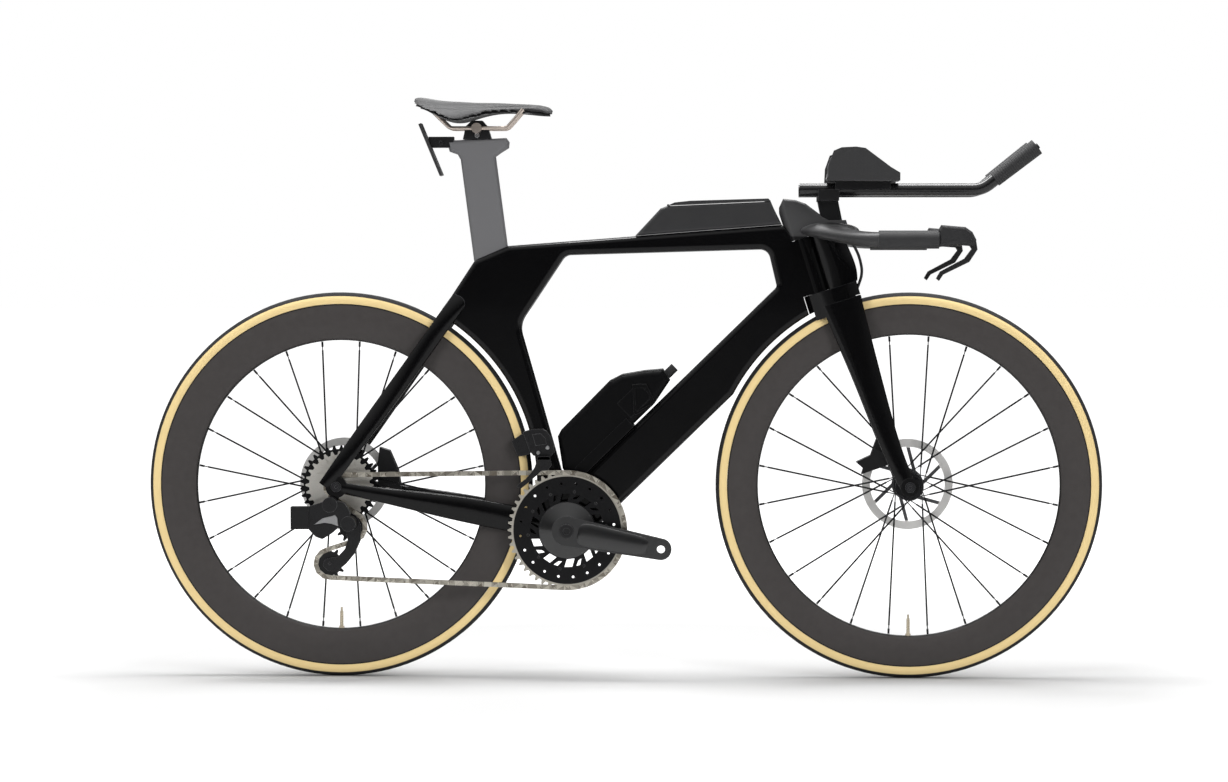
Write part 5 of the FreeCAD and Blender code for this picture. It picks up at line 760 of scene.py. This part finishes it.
# Bottle, spout and cradle: blow-moulded black bottle in a cradle of the same plastic, with a rubber spout.
# A raised frame is moulded on each flat side of the bottle.
bottle_plastic = Finish("bottle_plastic", (0.0025, 0.0025, 0.0028), 0.34, Specular_IOR_Level=0.12)
bottle_grain = bottle_plastic.noise(900, 3)
bottle_plastic.wear(0.002, 0.5, bottle_plastic.colour, (0.05, 0.05, 0.052))
bottle_plastic.rough(bottle_grain, 0.34, 0.52)
bottle_plastic.bump(bottle_grain, 0.00006, 0.4)
dress(bottle_plastic, "bottle", "bottle_cradle")
PANEL_CORNERS = ((0.0157, 0.5170), (0.0400, 0.5185), (0.0535, 0.4900), (0.0505, 0.4790), (0.0215, 0.4630),
                 (0.0171, 0.4660))
PANEL_RISE = 0.0012
panel_x = sum(x for x, _ in PANEL_CORNERS) / len(PANEL_CORNERS)
panel_z = sum(z for _, z in PANEL_CORNERS) / len(PANEL_CORNERS)
for side, label in ((-1, "right"), (1, "left")):
    panel_y = side_face("bottle", panel_x, panel_z, side).y
    form = bmesh.new()
    loops = []
    for share, rise in ((1.0, -0.3), (0.97, 1.0), (0.76, 1.0), (0.72, -0.3)):
        loops.append([form.verts.new((panel_x + (x - panel_x) * share, panel_y + side * PANEL_RISE * rise,
                                      panel_z + (z - panel_z) * share)) for x, z in PANEL_CORNERS])
    bridge(form, loops, ring=True)
    place_mesh("bottle_frame_" + label, form, "bottle", bottle_plastic)
grip_rubber = Finish("grip_rubber", (0.026, 0.026, 0.027), 0.68)
rubber_grain = grip_rubber.noise(700, 3)
grip_rubber.tint(grip_rubber.noise(40, 4), (0.015, 0.015, 0.016), (0.023, 0.023, 0.024))
grip_rubber.rough(rubber_grain, 0.58, 0.8)
grip_rubber.bump(rubber_grain, 0.0002, 0.5)
dress(grip_rubber, "bottle_spout")


# Stem, base bar and riser: satin carbon bar wing, stem with a satin hump over a gloss black foot,
# and an anodised column under the extensions.
dress(satin, "base_bar")
stem_paint = Finish("stem_satin_and_gloss", (0.050, 0.050, 0.051), 0.4, Specular_IOR_Level=0.4)
HUMP_FOOT = 0.776
on_hump = stem_paint.beyond(stem_paint.axes()["Z"], HUMP_FOOT, 0.0005)
stem_grain = stem_paint.noise(1400, 2)
stem_worn = stem_paint.place(edge_rub, Width=0.0016, Amount=0.8)["Mask"]
stem_satin = stem_paint.mix(stem_worn, stem_paint.colour, (0.14, 0.14, 0.142))
stem_paint.tint(on_hump, (0.003, 0.003, 0.0033), stem_satin)
stem_paint.rough(stem_grain, 0.32, 0.48)
stem_paint.bump(stem_grain, 0.00004, 0.4)
dress(stem_paint, "stem")
dress(alloy, "riser")


# Grips and hoods: soft rubber sleeves over the bar ends, closed by the lever hoods.
# The bar sleeves are wrapped tape, so a slanted step runs round them every twelve millimetres.
bar_tape = Finish("bar_tape", (0.030, 0.030, 0.031), 0.66)
TAPE_PITCH = 0.012
TAPE_SLANT = 0.25
tape_x, _, tape_z = bar_tape.axes()
tape_along = bar_tape.reckon("ADD", tape_x, bar_tape.reckon("MULTIPLY", tape_z, TAPE_SLANT))
tape_step = bar_tape.reckon("FRACT", bar_tape.reckon("DIVIDE", tape_along, TAPE_PITCH))
tape_grain = bar_tape.noise(1400, 3)
bar_tape.tint(bar_tape.noise(50, 5), (0.021, 0.021, 0.022), (0.030, 0.030, 0.031))
bar_tape.rough(tape_grain, 0.58, 0.78)
bar_tape.bump(tape_step, 0.0005, 0.5)
bar_tape.bump(tape_grain, 0.0001, 0.5)
dress(bar_tape, "bar_grips")
dress(grip_rubber, "brake_hoods")


# Brake levers: forged blades, black anodised and rubbed at the finger edge.
# Each swings on a pin through its hood, which shows as a small socket head on the outside.
lever_alloy = Finish("lever_alloy", (0.022, 0.022, 0.023), 0.34, Metallic=0.4)
lever_alloy.wear(0.001, 0.9, lever_alloy.colour, (0.16, 0.16, 0.165))
lever_alloy.rough(lever_alloy.noise(900, 2), 0.26, 0.45)
dress(lever_alloy, "brake_lever_right", "brake_lever_left")
LEVER_PIN = (0.5961, 0.7657)
LEVER_PIN_RADIUS = 0.0032
LEVER_PIN_HEIGHT = 0.0012
for bar_side, bar_label in ((-1, "right"), (1, "left")):
    socket_bolt("lever_pin_" + bar_label, side_face("brake_hoods", *LEVER_PIN, bar_side), (0, bar_side, 0),
                LEVER_PIN_RADIUS, LEVER_PIN_HEIGHT, "steering", lever_alloy)


# Extensions: gloss carbon tubes with ribbed rubber end grips, and a shift button in each end.
# The tubes are fixed on the riser and bend up at the front, where the rubber is pushed over them.
tube_gloss = Finish("extension_gloss_carbon", (0.006, 0.006, 0.0065), 0.24, Coat_Weight=0.25,
                    Coat_Roughness=0.1)
tube_cloth = tube_gloss.noise(700, 3, (0.2, 1, 1))
tube_gloss.tint(tube_cloth, (0.004, 0.004, 0.0045), (0.009, 0.009, 0.0095))
tube_gloss.rough(tube_cloth, 0.2, 0.32)
dress(tube_gloss, "extension_tubes")
end_rubber = Finish("extension_grip_rubber", (0.036, 0.036, 0.037), 0.66)
BEND = math.radians(38)
RIB_PITCH = 0.0042
end_x, _, end_z = end_rubber.axes()
end_along = end_rubber.reckon("ADD", end_rubber.reckon("MULTIPLY", end_x, math.cos(BEND)),
                              end_rubber.reckon("MULTIPLY", end_z, math.sin(BEND)))
ribs = end_rubber.reckon("PINGPONG", end_along, RIB_PITCH / 2)
rib_height_and_painted_shade = end_rubber.reckon("DIVIDE", ribs, RIB_PITCH / 2)
# ribs are painted lighter on their crests and darker in the grooves: painted shade that follows the rib
# height
end_rubber.tint(rib_height_and_painted_shade, (0.018, 0.018, 0.019), (0.030, 0.030, 0.031))
end_rubber.rough(end_rubber.noise(900, 3), 0.56, 0.78)
end_rubber.bump(rib_height_and_painted_shade, 0.0003, 0.5)
dress(end_rubber, "extension_grips")
button_plastic = Finish("button_plastic", (0.009, 0.009, 0.0095), 0.4, Specular_IOR_Level=0.3)
button_grain = button_plastic.noise(900, 2)
button_plastic.rough(button_grain, 0.32, 0.5)
button_plastic.bump(button_grain, 0.00004, 0.4)
dress(button_plastic, "shift_button_right", "shift_button_left")


# Armrest cups: satin carbon trays clamped over the extensions.
# Each has a high wing on its outer side and carries a pad.
dress(satin, "armrest_cups")


# Armrest pads: fabric-faced foam laid in the cups, thick at the wings and rolled in along its edges.
# Swollen like the saddle cover; held where the foam is stuck down in its cup.
pad_foam = Finish("pad_fabric", (0.042, 0.042, 0.044), 0.8, Sheen_Weight=0.3, Sheen_Roughness=0.5)
pad_weave = pad_foam.place(twill, Strand=0.0011, Light=(0.044, 0.044, 0.046, 1),
                           Dark=(0.024, 0.024, 0.025, 1))
pad_worn = pad_foam.noise(60, 5)
pad_foam.tint(pad_worn, pad_weave["Colour"], (0.038, 0.038, 0.040))
pad_foam.rough(pad_worn, 0.7, 0.9)
pad_foam.bump(pad_weave["Height"], 0.0002, 0.6)
ARMREST_SIDE = 0.088


def stuck_down(place, normal):
    """True on the faces of a pad that lie against its cup."""
    outward = normal.y * (place.y - math.copysign(ARMREST_SIDE, place.y))
    return normal.z < -0.5 or (abs(normal.y) > 0.6 and outward > 0)


PAD_GRID = 0.004
PAD_SLACK = 0.0005
PAD_FILL = 0.0020
armrest_pads = swell("armrest_soft_pads", "armrest_pads", PAD_GRID, PAD_SLACK, PAD_FILL, stuck_down)
smooth_over(armrest_pads, pad_foam)
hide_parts("armrest_pads")
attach(armrest_pads, "steering")


# Front brake hose: smooth black rubber hose, held at the stem and at the fork crown.
# Only its short run before the nose is outside, and it turns with the fork.
hose_rubber = Finish("hose_rubber", (0.015, 0.015, 0.016), 0.5)
hose_grain = hose_rubber.noise(900, 2)
hose_rubber.rough(hose_grain, 0.4, 0.6)
hose_rubber.bump(hose_grain, 0.00005, 0.4)
dress(hose_rubber, "front_brake_hose")


# Brake calipers: machined black alloy bodies round each rotor, with the pads inside.
# One is fixed to the fork and one to the left chainstay.
dress(alloy, "front_caliper", "rear_caliper")


# Cassette: nested steel sprockets, machined bright, with the largest one black.
# They sit on the freehub body in one stack, the largest next to the spokes.
_, cassette_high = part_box("cassette")
sprocket_steel = Finish("sprocket_steel", (0.52, 0.52, 0.53), 0.3, Metallic=0.7)
SPROCKET_STEP = 0.0035
largest = sprocket_steel.beyond(sprocket_steel.axes()["Y"], cassette_high[1] - SPROCKET_STEP, 0.0003)
sprocket_lay = sprocket_steel.noise(900, 2)
sprocket_tone = sprocket_steel.mix(sprocket_lay, (0.60, 0.58, 0.54), (0.80, 0.78, 0.73))
sprocket_steel.tint(largest, sprocket_tone, (0.010, 0.010, 0.011))
sprocket_steel.rough(sprocket_lay, 0.24, 0.48)
dress(sprocket_steel, "cassette")


# Crank arms: hollow moulded arms under black lacquer, with a rounded ridge along each outer face,
# a domed spider and a turned end cap.
crank_black = Finish("crank_black", (0.008, 0.008, 0.0085), 0.3, Specular_IOR_Level=0.4, Coat_Weight=1.0,
                     Coat_Roughness=0.12)
crank_black.wear(0.0012, 0.7, crank_black.colour, (0.09, 0.09, 0.092))
crank_black.rough(crank_black.noise(500, 2), 0.28, 0.42)
dress(crank_black, "crank_arm_right", "crank_arm_left")
dress(alloy, "crank_spindle")
BRACKET = Vector((-0.098, 0, 0.262))
CAP_RADIUS = 0.0125
CAP_HEIGHT = 0.0028
CRANK_LENGTH = 0.1675
CRANK_FALL = math.radians(-10.8)
RIDGE_STATIONS = ((0.12, 0.45), (0.135, 0.72), (0.16, 0.88), (0.21, 0.97), (0.3, 1.0), (0.5, 1.0), (0.7, 1.0),
                  (0.77, 0.97), (0.82, 0.88), (0.845, 0.72), (0.86, 0.45))
RIDGE_HEIGHT = 0.0034
RIDGE_ROOT_WIDTH = 0.0225
RIDGE_TIP_WIDTH = 0.0155
RIDGE_STEPS = 14
for side, arm_name in ((-1, "crank_arm_right"), (1, "crank_arm_left")):
    socket_bolt(arm_name + "_cap", side_face(arm_name, BRACKET.x, BRACKET.z, side), (0, side, 0),
                CAP_RADIUS, CAP_HEIGHT, "crankset", alloy)
    along_arm = Vector((math.cos(CRANK_FALL), 0, math.sin(CRANK_FALL))) * -side
    across_arm = Vector((-math.sin(CRANK_FALL), 0, math.cos(CRANK_FALL)))
    arm_middle = BRACKET + along_arm * (CRANK_LENGTH / 2)
    arm_face = side_face(arm_name, arm_middle.x, arm_middle.z, side).y
    form = bmesh.new()
    loops = []
    for station, share in RIDGE_STATIONS:
        middle = BRACKET + along_arm * (CRANK_LENGTH * station)
        width = (RIDGE_ROOT_WIDTH + (RIDGE_TIP_WIDTH - RIDGE_ROOT_WIDTH) * station) * share
        loop = []
        for step in range(RIDGE_STEPS + 1):
            angle = math.pi * step / RIDGE_STEPS
            place = middle + across_arm * (width * math.cos(angle))
            place.y = arm_face + side * (RIDGE_HEIGHT * share * math.sin(angle) - BOLT_SINK)
            loop.append(form.verts.new(place))
        loops.append(loop)
    bridge(form, loops)
    ridge = place_mesh(arm_name + "_ridge", form, "crankset", crank_black)
    ridge.data.polygons.foreach_set("use_smooth", [True] * len(ridge.data.polygons))


# Chainrings: black anodised alloy faces, machined bright at the teeth.
# The spider of the right crank arm carries both, and the large one is slotted.
ring_steel = Finish("ring_black_silver", (0.03, 0.03, 0.03), 0.3, Metallic=0.8)
ring_radius = ring_steel.radius_from(tuple(BRACKET))
ring_lay = ring_steel.noise(1200, 2)
TOOTH_FOOT = 0.0945
at_teeth = ring_steel.beyond(ring_radius, TOOTH_FOOT, 0.0005)
tooth_tone = ring_steel.mix(ring_lay, (0.50, 0.47, 0.41), (0.66, 0.63, 0.56))
ring_steel.tint(at_teeth, (0.016, 0.016, 0.017), tooth_tone)
ring_steel.rough(ring_lay, 0.24, 0.42)
dress(ring_steel, "chainrings")


# Rear derailleur: forged black link body and battery, a curved cage and two pulleys.
# A bright cover plate is riveted on the link, and bolts show at the pivots.
changer_black = Finish("changer_black", (0.014, 0.014, 0.015), 0.26, Metallic=0.4)
changer_black.wear(0.001, 0.9, changer_black.colour, (0.20, 0.20, 0.205))
changer_black.rough(changer_black.noise(900, 2), 0.2, 0.4)
dress(changer_black, "derailleur_body", "derailleur_cage")
dress(button_plastic, "derailleur_battery", "guide_pulley", "tension_pulley")
COVER_CORNERS = ((-0.0370, -0.0646), (-0.0216, -0.0535), (0.0002, -0.0477), (0.0045, -0.0535),
                 (0.0059, -0.0670), (-0.0056, -0.0630), (-0.0187, -0.0612))
COVER_RISE = 0.0016
cover_x = REAR_AXLE[0] + sum(x for x, _ in COVER_CORNERS) / len(COVER_CORNERS)
cover_z = REAR_AXLE[2] + sum(z for _, z in COVER_CORNERS) / len(COVER_CORNERS)
cover_y = side_face("derailleur_body", cover_x, cover_z).y
form = bmesh.new()
loops = []
for share, rise in ((1.0, -0.3), (1.0, 0.55), (0.94, 1.0)):
    loops.append([form.verts.new((cover_x + (REAR_AXLE[0] + x - cover_x) * share, cover_y - COVER_RISE * rise,
                                  cover_z + (REAR_AXLE[2] + z - cover_z) * share)) for x, z in COVER_CORNERS])
bridge(form, loops)
place_mesh("derailleur_cover", form, "frame", bolt_steel)
GUIDE_PIN = (-0.475, 0.268)
TENSION_PIN = (-0.513, 0.204)
PULLEY_BOLT_RADIUS = 0.0035
PULLEY_BOLT_HEIGHT = 0.0014
for label, pin, side in (("guide_pulley_bolt", GUIDE_PIN, 1), ("tension_pulley_bolt", TENSION_PIN, 1),
                         ("tension_pulley_bolt_outside", TENSION_PIN, -1)):
    socket_bolt(label, side_face("derailleur_cage", *pin, side), (0, side, 0), PULLEY_BOLT_RADIUS,
                PULLEY_BOLT_HEIGHT, "frame", alloy)


# Front derailleur: moulded black body and clipped-on battery on the seat tube, and a pressed cage with a
# curved tail that guides the chain on to the large ring.
def in_box(low, high, x_share, depth, z_share):
    """Point at shares of a box's length and height, at a given depth across the bike."""
    return low[0] + (high[0] - low[0]) * x_share, depth, low[2] + (high[2] - low[2]) * z_share


def prism(form, low, high, shares, near, far):
    """Side outline, in shares of a box, drawn from one depth to another."""
    bridge(form, [[form.verts.new(in_box(low, high, x, depth, z)) for x, z in shares]
                  for depth in (near, far)])


def soften(piece, width):
    """Round the sharp edges of a piece."""
    edge = piece.modifiers.new("edge", "BEVEL")
    edge.width = width
    edge.segments = 2
    bake(piece)


dress(changer_black, "front_changer", "front_changer_cage")
BATTERY_OUTLINE = ((-0.07, 0.45), (0.22, 0.81), (0.32, 0.74), (0.51, -0.15), (0.45, -0.24), (0.15, -0.35),
                   (0.10, -0.27))
BODY_OUTLINE = ((0.27, 0.93), (0.57, 1.08), (0.86, 1.10), (0.98, 0.98), (1.10, 0.69), (1.18, 0.31),
                (1.22, -0.11), (1.12, -0.33), (0.86, -0.36), (0.59, -0.29), (0.48, -0.06))
PANEL_OUTLINE = ((0.56, 0.80), (0.80, 0.86), (0.95, 0.62), (0.98, 0.30), (0.66, 0.22))
PANEL_PROUD = 0.0015
PANEL_SUNK = 0.001
BATTERY_BACK_SHARE = 0.1
BODY_ROUNDING = 0.0009
GUIDE_OUTLINE = ((0.73, 0.81), (1.19, 0.81), (1.27, 0.54), (1.12, 0.37), (0.87, 0.35), (0.67, 0.19),
                 (0.37, -0.03), (0.10, -0.21), (-0.07, -0.16), (0.0, -0.07), (0.27, 0.09), (0.46, 0.26),
                 (0.62, 0.47), (0.69, 0.65))
GUIDE_TOP = ((0.73, 0.81), (1.19, 0.81), (1.22, 0.70), (0.72, 0.70))
GUIDE_THICKNESS = 0.0016
GUIDE_GAP = 0.0115
GUIDE_ROUNDING = 0.0005
CHANGER_BOLT_RADIUS = 0.0034
CHANGER_BOLT_HEIGHT = 0.0014
changer_low, changer_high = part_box("front_changer")
changer_depth = changer_high[1] - changer_low[1]
form = bmesh.new()
prism(form, changer_low, changer_high, BATTERY_OUTLINE, changer_low[1] + changer_depth * BATTERY_BACK_SHARE,
      changer_high[1])
prism(form, changer_low, changer_high, BODY_OUTLINE, changer_low[1], changer_high[1])
prism(form, changer_low, changer_high, PANEL_OUTLINE, changer_low[1] - PANEL_PROUD,
      changer_low[1] + PANEL_SUNK)
changer_shape = place_mesh("front_changer_shape", form, "frame", changer_black)
soften(changer_shape, BODY_ROUNDING)
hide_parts("front_changer")
guide_low, guide_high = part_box("front_changer_cage")
form = bmesh.new()
for plate_y in (guide_low[1], guide_low[1] + GUIDE_GAP):
    prism(form, guide_low, guide_high, GUIDE_OUTLINE, plate_y, plate_y + GUIDE_THICKNESS)
prism(form, guide_low, guide_high, GUIDE_TOP, guide_low[1], guide_high[1])
guide_shape = place_mesh("front_changer_guide", form, "frame", changer_black)
soften(guide_shape, GUIDE_ROUNDING)
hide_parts("front_changer_cage")
for label, x_share, z_share in (("upper", 1.02, 0.12), ("lower", 0.74, -0.14)):
    socket_bolt("front_changer_bolt_" + label,
                in_box(changer_low, changer_high, x_share, changer_low[1], z_share), (0, -1, 0),
                CHANGER_BOLT_RADIUS, CHANGER_BOLT_HEIGHT, "frame", bolt_steel)


# Chain: plated steel side plates and rollers, each plate a little different in tone.
# It runs in a loop over a chainring, a sprocket and both pulleys.
chain_steel = Finish("chain_steel", (0.55, 0.50, 0.42), 0.3, Metallic=1.0)
each_plate = add(chain_steel.tree, "ShaderNodeNewGeometry")
chain_steel.tint(each_plate.outputs["Random Per Island"], (0.22, 0.19, 0.15), (0.86, 0.82, 0.72))
chain_steel.rough(chain_steel.noise(900, 2), 0.2, 0.45)
dress(chain_steel, "chain")
